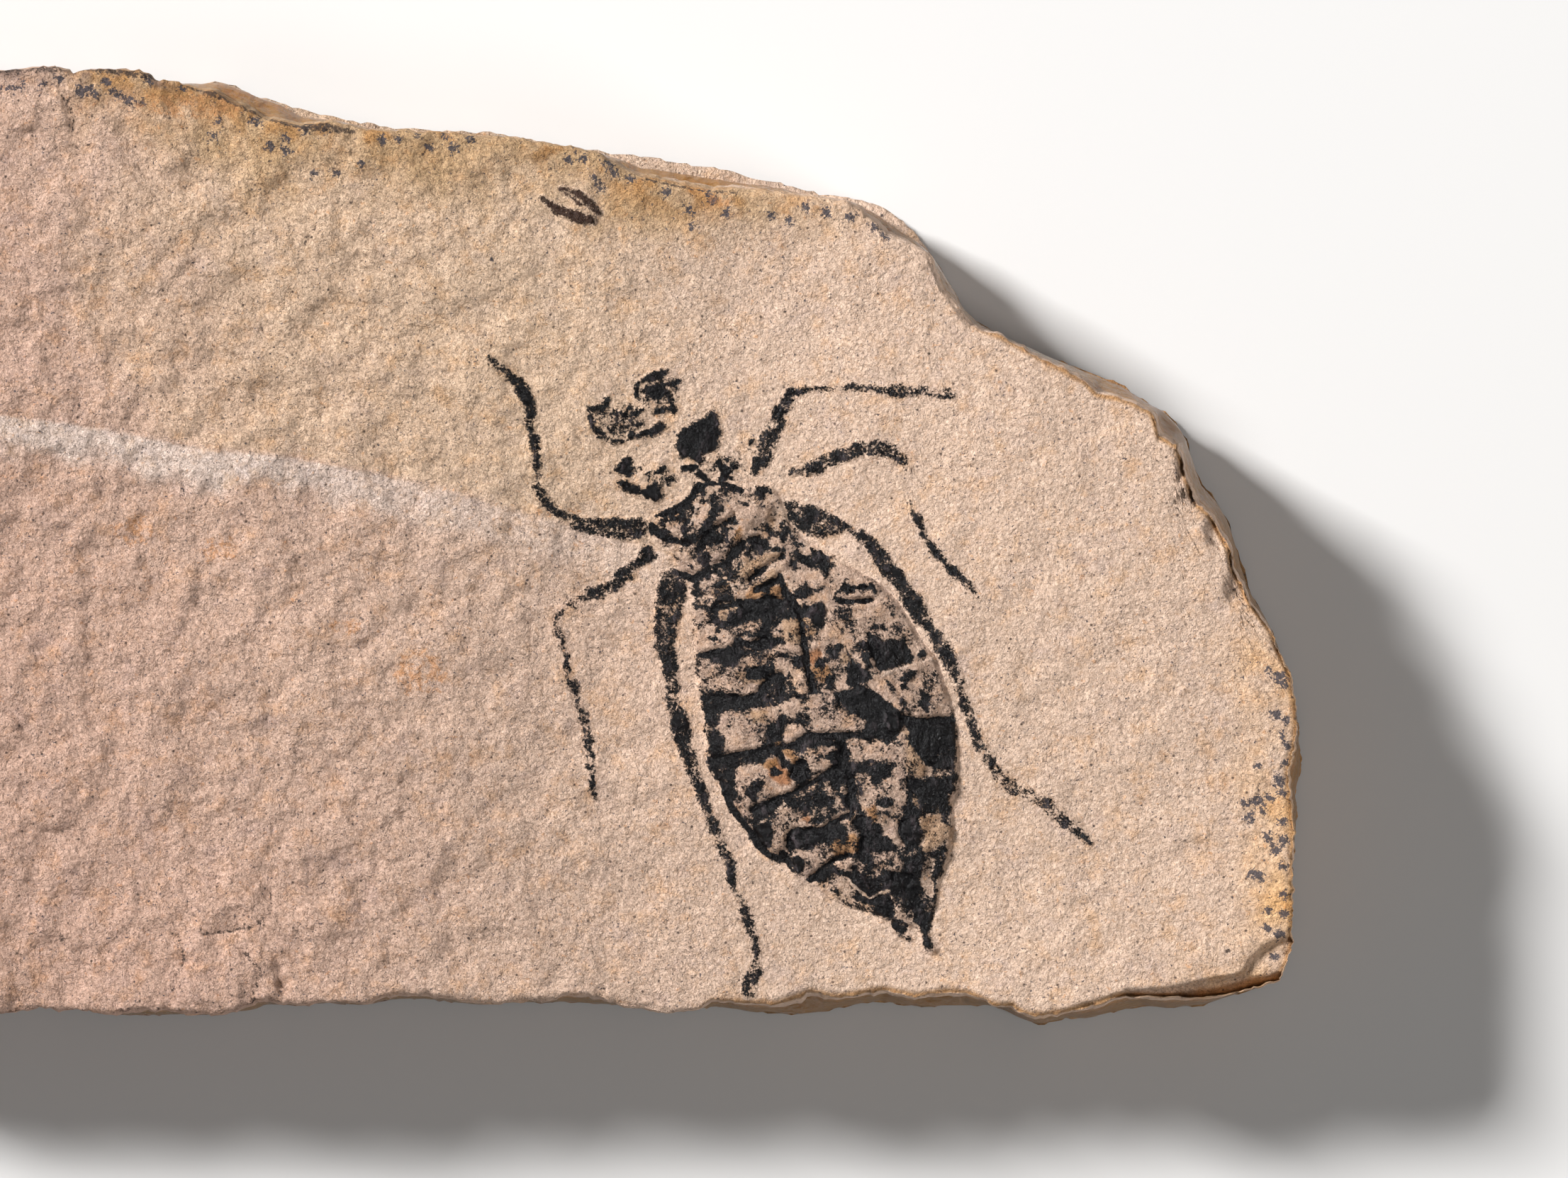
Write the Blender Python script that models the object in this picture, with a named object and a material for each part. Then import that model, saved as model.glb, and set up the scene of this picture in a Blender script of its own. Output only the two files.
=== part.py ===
"""A fossil dragonfly nymph on its stone slab, each piece a closed solid at real size.

The slab lies flat: two beds of pale limestone with a layer of clear brown resin between them, and on the upper bed
the nymph's black cuticle, which is a thin film of many separate patches. Metres, +Z up, and the origin is on the
ground under the middle of the slab.

The outlines were read by eye off a photograph taken straight down. They are written in its pixels, with x to the
right and y downwards, and one driving length, the nymph's body, turns them into metres.
"""

import bmesh
import bpy
from mathutils import Vector

# Driving dimensions, in metres
BODY_LENGTH = 0.022
BACKING_THICKNESS = 0.0031
RESIN_THICKNESS = 0.0006
PLATE_THICKNESS = 0.0029
FILM_THICKNESS = 0.00015

# The films are thinner than any gap that shows, so neighbours stand a tenth of a millimetre apart
GAP = 0.0001
RESIN_SETBACK = 0.0001

# The body's length in the photograph, from the front of the head to the tip of the tail spine
BODY_PIXELS = 872
PIXEL = BODY_LENGTH / BODY_PIXELS

# The end of the slab past the photograph's left edge, which is broken plainly, from the bottom up
HIDDEN_END = [
    (-70, 1428), (-150, 1421), (-225, 1427), (-290, 1416), (-360, 1404), (-384, 1335), (-398, 1250), (-381, 1120),
    (-380, 1000), (-396, 880), (-402, 760), (-388, 640), (-385, 520), (-404, 400), (-410, 300), (-398, 195),
    (-380, 118), (-320, 101), (-250, 97), (-170, 104), (-85, 98),
]

# Edge of the face that carries the nymph, clockwise from the photograph's left edge
FACE_TOP_EDGE = [
    (0, 101), (38, 97), (73, 93), (100, 104), (128, 98), (180, 98), (204, 102), (221, 115), (246, 115), (268, 125),
    (303, 130), (322, 143), (353, 157), (364, 167), (400, 175), (420, 179), (466, 171), (517, 184), (600, 187),
    (700, 193), (775, 203), (820, 211), (849, 218), (858, 227), (887, 246), (937, 259), (984, 269), (1055, 269),
    (1131, 277), (1192, 285), (1213, 298), (1248, 332), (1286, 346), (1307, 354), (1320, 386), (1327, 406),
    (1355, 440), (1370, 461), (1414, 476), (1496, 520), (1532, 540), (1546, 556), (1592, 566), (1625, 583),
    (1635, 616), (1659, 629), (1672, 669), (1681, 699), (1688, 712), (1706, 727), (1722, 756), (1734, 776),
    (1738, 800), (1746, 817), (1764, 853), (1795, 893),
]
FACE_RIGHT_EDGE = [
    (1800, 910), (1818, 950), (1824, 988), (1828, 1021), (1827, 1044), (1819, 1078), (1817, 1094), (1818, 1113),
    (1823, 1149), (1823, 1250), (1822, 1300), (1823, 1328), (1814, 1358), (1803, 1381),
]
FACE_BOTTOM_EDGE = [
    (1784, 1388), (1740, 1401), (1690, 1408), (1648, 1407), (1610, 1405), (1577, 1405), (1549, 1415), (1517, 1423),
    (1501, 1429), (1486, 1429), (1475, 1433), (1465, 1432), (1452, 1432), (1435, 1425), (1427, 1417), (1416, 1420),
    (1401, 1417), (1383, 1409), (1367, 1401), (1334, 1399), (1291, 1405), (1245, 1396), (1179, 1407), (1143, 1399),
    (1128, 1405), (1097, 1417), (1056, 1415), (1004, 1411), (985, 1424), (960, 1427), (935, 1427), (915, 1422),
    (880, 1417), (855, 1410), (830, 1402), (800, 1404), (775, 1411), (740, 1412), (700, 1413), (660, 1412),
    (640, 1408), (600, 1402), (560, 1402), (540, 1406), (520, 1414), (496, 1414), (468, 1411), (433, 1417),
    (406, 1415), (388, 1411), (360, 1411), (333, 1425), (295, 1430), (260, 1429), (243, 1425), (208, 1423),
    (173, 1426), (159, 1431), (139, 1428), (118, 1424), (80, 1424), (61, 1420), (21, 1426), (0, 1431),
]

# Silhouette of the lower bed, which juts out past the face at the top, the right and the bottom
BED_TOP_EDGE = [
    (0, 100), (38, 96), (73, 91), (100, 102), (128, 97), (180, 96), (204, 100), (221, 112), (241, 114), (280, 115),
    (303, 113), (314, 115), (333, 122), (361, 133), (384, 139), (400, 146), (420, 151), (453, 158), (492, 168),
    (535, 176), (600, 181), (700, 185), (775, 200), (820, 208), (858, 212), (937, 223), (1025, 238), (1069, 250),
    (1151, 269), (1201, 278), (1242, 287), (1275, 310), (1302, 339), (1324, 369), (1348, 409), (1361, 434),
    (1384, 456), (1414, 472), (1526, 520), (1586, 543), (1629, 573), (1654, 584), (1675, 616), (1682, 639),
    (1698, 684), (1717, 705), (1736, 736), (1751, 785), (1764, 829), (1798, 891),
]
BED_RIGHT_EDGE = [
    (1819, 950), (1827, 973), (1833, 1014), (1837, 1052), (1838, 1088), (1830, 1120), (1833, 1149), (1825, 1240),
    (1824, 1328), (1811, 1378),
]
BED_BOTTOM_EDGE = [
    (1786, 1392), (1736, 1408), (1700, 1420), (1652, 1424), (1615, 1421), (1587, 1427), (1547, 1436), (1542, 1438),
    (1510, 1439), (1488, 1443), (1481, 1447), (1464, 1447), (1452, 1443), (1437, 1437), (1418, 1428), (1398, 1421),
    (1332, 1422), (1301, 1424), (1242, 1415), (1204, 1421), (1153, 1431), (1115, 1433), (1069, 1430), (1010, 1423),
    (985, 1426), (940, 1430), (920, 1428), (905, 1424), (880, 1421), (840, 1418), (790, 1416), (720, 1417),
    (680, 1420), (640, 1416), (600, 1411), (560, 1411), (540, 1413), (510, 1421), (464, 1417), (430, 1420),
    (371, 1420), (359, 1425), (340, 1429), (298, 1434), (239, 1434), (159, 1435), (132, 1432), (120, 1427),
    (80, 1425), (61, 1421), (21, 1427), (0, 1433),
]

# Thorax, abdomen and the two tail spines, clockwise from the left shoulder
NYMPH_BODY = [
    (935, 722), (955, 712), (970, 700), (980, 688), (995, 682), (1020, 680), (1045, 688), (1085, 690), (1095, 705),
    (1102, 722), (1110, 745), (1126, 760), (1150, 776), (1185, 795), (1212, 812), (1240, 828), (1262, 850),
    (1285, 885), (1300, 912), (1316, 928), (1322, 945), (1336, 985), (1344, 1013), (1349, 1060), (1349, 1110),
    (1341, 1130), (1343, 1165), (1338, 1206), (1325, 1230), (1318, 1265), (1312, 1300), (1313, 1320), (1322, 1330),
    (1324, 1340), (1316, 1345), (1308, 1338), (1300, 1322), (1295, 1306), (1285, 1302), (1284, 1328), (1265, 1312),
    (1255, 1298), (1225, 1283), (1200, 1278), (1182, 1269), (1160, 1255), (1128, 1235), (1108, 1220), (1080, 1205),
    (1062, 1187), (1045, 1160), (1028, 1130), (1015, 1100), (1005, 1075), (996, 1040), (993, 1000), (986, 985),
    (984, 930), (984, 886), (978, 850), (976, 822), (960, 805), (940, 785), (922, 762), (925, 740),
]
HEAD_PLATE = [
    (957, 615), (962, 605), (975, 600), (992, 590), (1008, 580), (1013, 590), (1017, 612), (1010, 620), (1014, 628),
    (1008, 636), (990, 643), (993, 652), (988, 655), (970, 645), (960, 648), (953, 628),
]
RIGHT_EYE = [
    (898, 540), (912, 533), (925, 524), (940, 523), (957, 535), (945, 545), (948, 560), (957, 566), (956, 582),
    (930, 583), (914, 565), (905, 556), (900, 562), (896, 552),
]
MASK_LEAF = [(870, 662), (873, 655), (888, 642), (892, 648), (890, 658), (903, 660), (888, 672), (873, 668)]
MASK_BLADE = [
    (873, 680), (880, 678), (895, 685), (908, 690), (925, 680), (930, 690), (938, 700), (925, 707), (900, 700),
    (885, 692),
]

# A scrap of another shell, a bent crust that is open to the upper left
SHELL_FRAGMENT = [
    (764, 278), (771, 277), (779, 279), (783, 286), (795, 290), (806, 293), (818, 293), (821, 288), (812, 282),
    (806, 277), (797, 272), (786, 270), (786, 266), (797, 265), (815, 272), (834, 287), (846, 300), (843, 304),
    (836, 308), (835, 318), (822, 311), (800, 305), (786, 301), (775, 290),
]

# Strips along a route, as x, y and half the strip's width, all in pixels
LEFT_EYE = [
    (855, 570, 6), (841, 578, 6), (834, 595, 5), (842, 608, 5), (853, 618, 4), (872, 622, 4), (889, 614, 4),
    (902, 602, 5), (900, 584, 6), (884, 578, 7),
]
LEGS = {
    "left_front_leg": [
        (693, 506, 5), (712, 522, 5), (740, 550, 8), (748, 588, 5), (749, 608, 3), (756, 637, 6), (757, 680, 6),
        (771, 708, 5), (788, 722, 4), (805, 734, 5), (838, 743, 12), (880, 747, 15), (908, 746, 11),
    ],
    "left_middle_leg": [
        (908, 778, 9), (882, 812, 8), (845, 836, 9), (813, 846, 7), (795, 860, 5), (784, 880, 5), (791, 903, 6),
        (795, 925, 5), (804, 965, 6), (815, 990, 5), (825, 1012, 8), (829, 1040, 7), (833, 1070, 7),
        (836, 1098, 6), (837, 1126, 4),
    ],
    "left_hind_leg": [
        (949, 815, 17), (945, 850, 17), (938, 890, 15), (940, 940, 12), (948, 970, 9), (948, 990, 9),
        (957, 1012, 11), (962, 1038, 13), (968, 1060, 9), (977, 1085, 8), (990, 1120, 7), (1003, 1155, 6),
        (1016, 1190, 6), (1031, 1225, 6), (1043, 1265, 4), (1053, 1295, 6), (1063, 1325, 5), (1067, 1350, 4),
        (1063, 1372, 9), (1056, 1396, 8),
    ],
    "right_front_leg": [
        (1066, 662, 6), (1075, 648, 9), (1080, 630, 10), (1089, 610, 9), (1099, 585, 7), (1109, 568, 6),
        (1125, 553, 6), (1145, 548, 5), (1195, 547, 4), (1225, 547, 3), (1243, 551, 5), (1268, 551, 8),
        (1300, 550, 7), (1334, 552, 7),
    ],
    "right_middle_leg": [
        (1117, 665, 5), (1135, 661, 8), (1160, 655, 9), (1205, 636, 8), (1228, 632, 9), (1250, 635, 10),
        (1268, 645, 9), (1279, 661, 6), (1285, 711, 4), (1293, 731, 5), (1307, 763, 5), (1331, 793, 4),
        (1346, 807, 7), (1365, 825, 6), (1380, 842, 3),
    ],
    "right_hind_leg": [
        (1114, 716, 8), (1128, 729, 13), (1145, 734, 17), (1162, 740, 16), (1178, 743, 11), (1192, 745, 5),
        (1212, 755, 5), (1232, 770, 7), (1245, 790, 12), (1262, 812, 9), (1286, 846, 11), (1300, 870, 10),
        (1313, 887, 5), (1330, 915, 9), (1343, 940, 8), (1357, 980, 6), (1364, 1000, 6), (1379, 1040, 6),
        (1387, 1060, 7), (1411, 1100, 9), (1430, 1114, 8), (1470, 1130, 9), (1503, 1160, 8), (1520, 1172, 8),
        (1537, 1190, 3),
    ],
}

# Colour, roughness, metallic and transmission of each material
FINISHES = {
    "stone": ((0.66, 0.47, 0.36), 0.85, 0.0, 0.0),
    "resin": ((0.42, 0.20, 0.06), 0.12, 0.0, 0.9),
    "cuticle": ((0.012, 0.011, 0.012), 0.42, 0.0, 0.0),
    "shell": ((0.10, 0.045, 0.022), 0.45, 0.0, 0.0),
}


def make_material(name):
    """One plain surface finish from the table above."""
    colour, roughness, metallic, transmission = FINISHES[name]
    material = bpy.data.materials.new(name)
    material.use_nodes = True
    shader = material.node_tree.nodes["Principled BSDF"]
    shader.inputs["Base Color"].default_value = (*colour, 1.0)
    shader.inputs["Roughness"].default_value = roughness
    shader.inputs["Metallic"].default_value = metallic
    shader.inputs["Transmission Weight"].default_value = transmission
    return material


def middle(outlines):
    """Middle of the smallest upright rectangle around all the outlines, in pixels."""
    points = [point for outline in outlines for point in outline]
    across = [x for x, y in points]
    down = [y for x, y in points]
    return Vector(((min(across) + max(across)) / 2, (min(down) + max(down)) / 2))


def in_metres(outline, centre):
    """The outline's points on the ground, in metres: y turns over, because it ran downwards."""
    return [Vector((x - centre.x, centre.y - y)) * PIXEL for x, y in outline]


def strip_edges(route):
    """Outline of a strip: out along one side of the route and back along the other."""
    middles = [Vector(stop[:2]) for stop in route]
    out_side = []
    back_side = []
    for index, middle_point in enumerate(middles):
        before = middles[max(index - 1, 0)]
        after = middles[min(index + 1, len(route) - 1)]
        along = (after - before).normalized()
        across = Vector((-along.y, along.x)) * route[index][2]
        out_side.append(tuple(middle_point + across))
        back_side.append(tuple(middle_point - across))
    return out_side + back_side[::-1]


def shrunk(outline, distance):
    """The outline of a clockwise shape moved inwards, each corner along the line that halves it."""
    moved = []
    for index, corner in enumerate(outline):
        along_in = (corner - outline[index - 1]).normalized()
        along_out = (outline[(index + 1) % len(outline)] - corner).normalized()
        along = (along_in + along_out).normalized()
        moved.append(corner + Vector((along.y, -along.x)) * distance)
    return moved


def upright_prism(name, outline, low, thickness, material):
    """A closed solid with the outline as its floor and its lid."""
    shape = bmesh.new()
    floor = [shape.verts.new((x, y, low)) for x, y in outline]
    lid = [shape.verts.new((x, y, low + thickness)) for x, y in outline]
    shape.faces.new(floor)
    shape.faces.new(lid)
    for index in range(len(outline)):
        following = (index + 1) % len(outline)
        shape.faces.new((floor[index], floor[following], lid[following], lid[index]))
    bmesh.ops.recalc_face_normals(shape, faces=shape.faces[:])
    bmesh.ops.triangulate(shape, faces=shape.faces[:], ngon_method="EAR_CLIP")
    mesh = bpy.data.meshes.new(name)
    shape.to_mesh(mesh)
    shape.free()
    mesh.materials.append(material)
    piece = bpy.data.objects.new(name, mesh)
    bpy.context.scene.collection.objects.link(piece)
    return piece


def main():
    for old in list(bpy.data.objects):
        bpy.data.objects.remove(old, do_unlink=True)
    materials = {name: make_material(name) for name in FINISHES}

    face = FACE_TOP_EDGE + FACE_RIGHT_EDGE + FACE_BOTTOM_EDGE + HIDDEN_END
    bed = BED_TOP_EDGE + BED_RIGHT_EDGE + BED_BOTTOM_EDGE + HIDDEN_END
    centre = middle([face, bed])

    # The three layers of the slab, from the ground up
    resin_level = BACKING_THICKNESS + GAP
    plate_level = resin_level + RESIN_THICKNESS + GAP
    film_level = plate_level + PLATE_THICKNESS + GAP
    bed_outline = in_metres(bed, centre)
    resin_outline = shrunk(bed_outline, RESIN_SETBACK)
    face_outline = in_metres(face, centre)
    upright_prism("backing_plate", bed_outline, 0.0, BACKING_THICKNESS, materials["stone"])
    upright_prism("resin_layer", resin_outline, resin_level, RESIN_THICKNESS, materials["resin"])
    upright_prism("fossil_plate", face_outline, plate_level, PLATE_THICKNESS, materials["stone"])

    # The patches of film on the face
    films = {
        "nymph_body": NYMPH_BODY,
        "head_plate": HEAD_PLATE,
        "left_eye": strip_edges(LEFT_EYE),
        "right_eye": RIGHT_EYE,
        "mask_leaf": MASK_LEAF,
        "mask_blade": MASK_BLADE,
    }
    for name, route in LEGS.items():
        films[name] = strip_edges(route)
    for name, outline in films.items():
        flat = in_metres(outline, centre)
        upright_prism(name, flat, film_level, FILM_THICKNESS, materials["cuticle"])
    scrap = in_metres(SHELL_FRAGMENT, centre)
    upright_prism("shell_fragment", scrap, film_level, FILM_THICKNESS, materials["shell"])


main()
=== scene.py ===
# %% [markdown]
# # A dragonfly nymph in stone
# The object is a flat slab of pale limestone, two beds thick, with a layer of clear brown resin between the
# beds. On the upper bed lies a dragonfly nymph: its skin is now a black film a few hundredths of a
# millimetre thick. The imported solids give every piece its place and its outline. This lesson gives each of
# them a natural surface: broken stone, glassy resin and flaking film.

# %% Load the frame
import math
import bpy
import numpy as np
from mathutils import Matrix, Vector


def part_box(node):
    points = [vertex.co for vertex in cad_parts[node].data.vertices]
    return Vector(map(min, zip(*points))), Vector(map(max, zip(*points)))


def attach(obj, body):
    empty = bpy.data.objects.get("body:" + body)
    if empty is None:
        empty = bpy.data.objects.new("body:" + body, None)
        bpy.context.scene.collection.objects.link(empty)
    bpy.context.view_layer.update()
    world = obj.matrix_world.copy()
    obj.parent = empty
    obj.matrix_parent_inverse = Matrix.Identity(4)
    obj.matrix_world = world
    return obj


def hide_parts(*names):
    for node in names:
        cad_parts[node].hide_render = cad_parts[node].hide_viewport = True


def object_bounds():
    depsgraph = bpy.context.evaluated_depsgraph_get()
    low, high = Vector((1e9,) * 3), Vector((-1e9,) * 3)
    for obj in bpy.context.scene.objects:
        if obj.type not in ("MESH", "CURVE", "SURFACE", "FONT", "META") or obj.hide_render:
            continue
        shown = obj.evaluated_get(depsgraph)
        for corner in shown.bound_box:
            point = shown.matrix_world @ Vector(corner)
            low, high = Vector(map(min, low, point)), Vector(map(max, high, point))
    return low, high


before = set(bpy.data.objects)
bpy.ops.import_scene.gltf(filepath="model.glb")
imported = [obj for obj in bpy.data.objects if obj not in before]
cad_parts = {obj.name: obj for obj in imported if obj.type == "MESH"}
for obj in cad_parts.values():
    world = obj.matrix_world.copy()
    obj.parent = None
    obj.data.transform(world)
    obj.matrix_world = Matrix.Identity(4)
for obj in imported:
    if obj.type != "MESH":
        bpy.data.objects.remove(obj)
cad_low, cad_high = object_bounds()
cad_size = [round(side * 1000, 1) for side in cad_high - cad_low]
print("solids:", len(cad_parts), "pieces,", cad_size, "mm")

# %% [markdown]
# ## Places
# The outlines were read off a photograph taken straight down, so places on the slab are easiest to give in
# its pixels: x to the right and y downwards. The slab's own box turns them into metres.

# %% From photograph pixels to metres
LEFTMOST, RIGHTMOST = -410, 1838  # the slab's own ends, in the photograph's pixels
TOPMOST = 91
PHOTO_WIDTH, PHOTO_HEIGHT = 2212, 1662
PIXEL = (cad_high.x - cad_low.x) / (RIGHTMOST - LEFTMOST)
MM = 0.001


def in_metres(x, y, z):
    """Pixels x and y and a height in metres, stacked as points in metres."""
    across = cad_low.x + (x - LEFTMOST) * PIXEL
    away = cad_high.y - (y - TOPMOST) * PIXEL
    return np.stack(np.broadcast_arrays(across, away, z), axis=-1)


def in_pixels(points):
    """The pixels x and y of points in metres."""
    x = LEFTMOST + (points[:, 0] - cad_low.x) / PIXEL
    y = TOPMOST + (cad_high.y - points[:, 1]) / PIXEL
    return np.stack([x, y], 1)


print("one pixel is", round(PIXEL / MM, 4), "mm")

# %% [markdown]
# ## Camera, floor and light
# The photograph looks straight down through a long lens. A long lens far away keeps the slab's lower ledges
# in view beside its face. One soft lamp stands low at the upper left, which is what draws out the grain of
# the stone. A weak one at the lower right lights the resin of the rim, and the pale surroundings fill the
# shadows.

# %% Camera
CAMERA_HEIGHT = 0.9
SENSOR = 36.0
face_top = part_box("fossil_plate")[1].z
look_at = in_metres(PHOTO_WIDTH / 2, PHOTO_HEIGHT / 2, face_top)
lens = bpy.data.cameras.new("camera")
lens.sensor_width = SENSOR
lens.lens = SENSOR * CAMERA_HEIGHT / (PHOTO_WIDTH * PIXEL)
lens.clip_start = 0.01
lens.clip_end = 10.0
camera = bpy.data.objects.new("camera", lens)
camera.location = look_at + np.array([0, 0, CAMERA_HEIGHT])
bpy.context.scene.collection.objects.link(camera)
bpy.context.scene.camera = camera
print("lens", round(lens.lens), "mm")

# %% Lamps and floor
LAMP_DISTANCE = 1.0
FLOOR_SIDE = 3.0
FLOOR_DROP = 0.00002


def add_lamp(name, direction, size, power):
    """A square lamp that stands in a direction and faces the slab."""
    lamp = bpy.data.lights.new(name, "AREA")
    lamp.size = size
    lamp.energy = power
    stand = bpy.data.objects.new(name, lamp)
    stand.location = Vector(direction).normalized() * LAMP_DISTANCE
    stand.rotation_euler = (-stand.location).to_track_quat("-Z", "Y").to_euler()
    bpy.context.scene.collection.objects.link(stand)


add_lamp("key_lamp", (-0.84, 0.54, 0.64), 0.20, 23.6)
add_lamp("rim_lamp", (0.90, -0.38, 0.50), 0.25, 3.5)
world = bpy.data.worlds.new("studio")
world.use_nodes = True
surroundings = world.node_tree.nodes["Background"].inputs
surroundings["Color"].default_value = (1.0, 0.98, 0.96, 1.0)
surroundings["Strength"].default_value = 0.14
bpy.context.scene.world = world
bpy.context.scene.view_settings.view_transform = "Standard"
half = FLOOR_SIDE / 2
floor_mesh = bpy.data.meshes.new("floor")
floor_mesh.from_pydata([(-half, -half, 0), (half, -half, 0), (half, half, 0), (-half, half, 0)], [],
                       [(0, 1, 2, 3)])
floor = bpy.data.objects.new("floor", floor_mesh)
floor.location.z = -FLOOR_DROP
bpy.context.scene.collection.objects.link(floor)
print("floor", FLOOR_SIDE, "m wide")

# %% [markdown]
# ## Shader sums
# Surface finishes here are sums of noise and masks. Wrapping a socket in a small class lets them be written
# as plain sums, and one method makes every other node.

# %% A socket that does arithmetic


class Wire:
    """An output of a shader node that adds, subtracts and multiplies like a number."""

    def __init__(self, finish, socket):
        self.finish = finish
        self.socket = socket

    def sum(self, operation, *values):
        """What a Math node makes of values, by the name of its operation."""
        return self.finish.node("Math", dict(enumerate(values)), operation=operation)

    def __add__(self, other):
        return self.sum("ADD", self, other)

    def __sub__(self, other):
        return self.sum("SUBTRACT", self, other)

    def __rsub__(self, other):
        return self.sum("SUBTRACT", other, self)

    def __mul__(self, other):
        return self.sum("MULTIPLY", self, other)

    __radd__ = __add__
    __rmul__ = __mul__

    def ramp(self, low, high):
        """0 where the value is low, 1 where it is high, and an S curve between."""
        return self.finish.node("MapRange", {0: self, 1: low, 2: high}, interpolation_type="SMOOTHSTEP")


print("a wire knows + - * and a ramp")

# %% A material that is built node by node


class Finish:
    """A material with a Principled shader, built node by node."""

    def __init__(self, name):
        self.material = bpy.data.materials.new(name)
        self.material.use_nodes = True
        self.tree = self.material.node_tree
        self.shader = self.tree.nodes["Principled BSDF"]
        self.place = self.node("TexCoord", output="Object")

    def node(self, kind, sockets=None, output=0, **settings):
        """One output of a new node, with its settings first and then the values or links of its sockets."""
        made = self.tree.nodes.new("ShaderNode" + kind)
        for key, value in settings.items():
            setattr(made, key, value)
        for key, value in (sockets or {}).items():
            if isinstance(value, Wire):
                self.tree.links.new(value.socket, made.inputs[key])
            else:
                made.inputs[key].default_value = value
        return Wire(self, made.outputs[output])

    def noise(self, size, detail=2.0, roughness=0.5, stretch=None):
        """Cloudy noise between 0 and 1 with lumps about `size` metres across."""
        place = self.place
        if stretch:
            place = self.node("Mapping", {"Vector": place, "Rotation": stretch[0], "Scale": stretch[1]})
        sockets = {"Vector": place, "Scale": 1 / size, "Detail": detail, "Roughness": roughness}
        return self.node("TexNoise", sockets)

    def painted(self, name, output="Fac"):
        """What the mesh carries under a name: a number, or a colour."""
        return self.node("Attribute", output=output, attribute_name=name)

    def mix(self, factor, one, other, blend="MIX"):
        """One colour where the factor is 0 and the other where it is 1."""
        return self.node("Mix", {0: factor, 6: one, 7: other}, output=2, data_type="RGBA", blend_type=blend)

    def washed(self, colour, wash):
        """A colour multiplied by another one."""
        return self.mix(1.0, colour, wash, "MULTIPLY")

    def bump(self, height, distance, under=None):
        """Bumps of a height between 0 and 1, `distance` metres tall, on top of other bumps."""
        sockets = {"Height": height, "Distance": distance}
        if under:
            sockets["Normal"] = under
        return self.node("Bump", sockets)

    def set(self, **sockets):
        """Sets or links the shader's own sockets, with _ for a space in their names."""
        for key, value in sockets.items():
            socket = self.shader.inputs[key.replace("_", " ")]
            if isinstance(value, Wire):
                self.tree.links.new(value.socket, socket)
            else:
                socket.default_value = value
        return self


floor_finish = Finish("pale_paper").set(Base_Color=(0.62, 0.61, 0.60, 1), Roughness=0.9)
floor_mesh.materials.append(floor_finish.material)
print("floor finish ready")

# %% [markdown]
# ## Hills, distances and soft shapes
# Three kinds of field make every surface here. Noise makes hills. The distance from a drawn outline
# tells how far inside it a point lies. The distance from a route makes legs, cracks and seams.

# %% Hills and soft steps
CORNERS = 256


def soft(value, low, high):
    """0 where the value is low, 1 where it is high, and the curve 3t² - 2t³ between."""
    t = np.clip((value - low) / (high - low), 0, 1)
    return t * t * (3 - 2 * t)


def hills(x, y, size, seed, octaves=1, gain=0.5):
    """Smooth hills about `size` pixels across, roughly between -1 and 1.

    Random heights stand at the corners of a square net and are joined by the curve 3t² - 2t³. Each octave
    turns the net, halves its mesh and multiplies its height by the gain.
    """
    total = 0.0
    for octave in range(octaves):
        heights = np.random.default_rng(seed * 31 + octave).uniform(-1, 1, (CORNERS, CORNERS))
        turn = 0.5 + 1.1 * octave
        mesh = size / 2**octave
        across = (x * math.cos(turn) - y * math.sin(turn)) / mesh + 700.5
        down = (x * math.sin(turn) + y * math.cos(turn)) / mesh + 700.5
        column = np.floor(across).astype(int)
        row = np.floor(down).astype(int)
        right = soft(across - column, 0, 1)
        low = soft(down - row, 0, 1)
        row, next_row = row % CORNERS, (row + 1) % CORNERS
        column, next_column = column % CORNERS, (column + 1) % CORNERS
        top = heights[row, column] * (1 - right) + heights[row, next_column] * right
        foot = heights[next_row, column] * (1 - right) + heights[next_row, next_column] * right
        total = total + gain**octave * (top * (1 - low) + foot * low)
    return total


print("hills stay within", round(float(np.abs(hills(np.arange(900.0), np.arange(900.0), 20, 1)).max()), 2))

# %% Distances from outlines and routes


def to_segments(x, y, corners, closed):
    """Each point's distance from each segment between corners, and how far along it the nearest spot lies.

    That share is the segment's dot product with the line to the point, over its own length squared.
    """
    starts = np.array(corners, float)[:, :2]
    ends = np.roll(starts, -1, axis=0)
    if not closed:
        starts, ends = starts[:-1], ends[:-1]
    run = ends - starts
    from_x = x[..., None] - starts[:, 0]
    from_y = y[..., None] - starts[:, 1]
    along = np.clip((from_x * run[:, 0] + from_y * run[:, 1]) / np.maximum((run**2).sum(1), 1e-9), 0, 1)
    return np.hypot(from_x - along * run[:, 0], from_y - along * run[:, 1]), along


def inside(x, y, corners):
    """Distance from a closed outline, positive inside, where a ray crosses it an odd number of times."""
    distance = to_segments(x, y, corners, True)[0].min(-1)
    start = np.array(corners, float)
    end = np.roll(start, -1, axis=0)
    level = y[..., None]
    spans = (start[:, 1] > level) != (end[:, 1] > level)
    drop = np.where(end[:, 1] == start[:, 1], 1e-9, end[:, 1] - start[:, 1])
    crossing = start[:, 0] + (level - start[:, 1]) / drop * (end[:, 0] - start[:, 0])
    odd = (spans & (x[..., None] < crossing)).sum(-1) % 2 == 1
    return np.where(odd, distance, -distance)


def along_route(x, y, route):
    """How deep a point lies in a strip: its half width there less the distance from its middle line."""
    distance, along = to_segments(x, y, route, False)
    half_width = np.array([stop[2] for stop in route], float)
    return (half_width[:-1] * (1 - along) + half_width[1:] * along - distance).max(-1)


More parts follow.
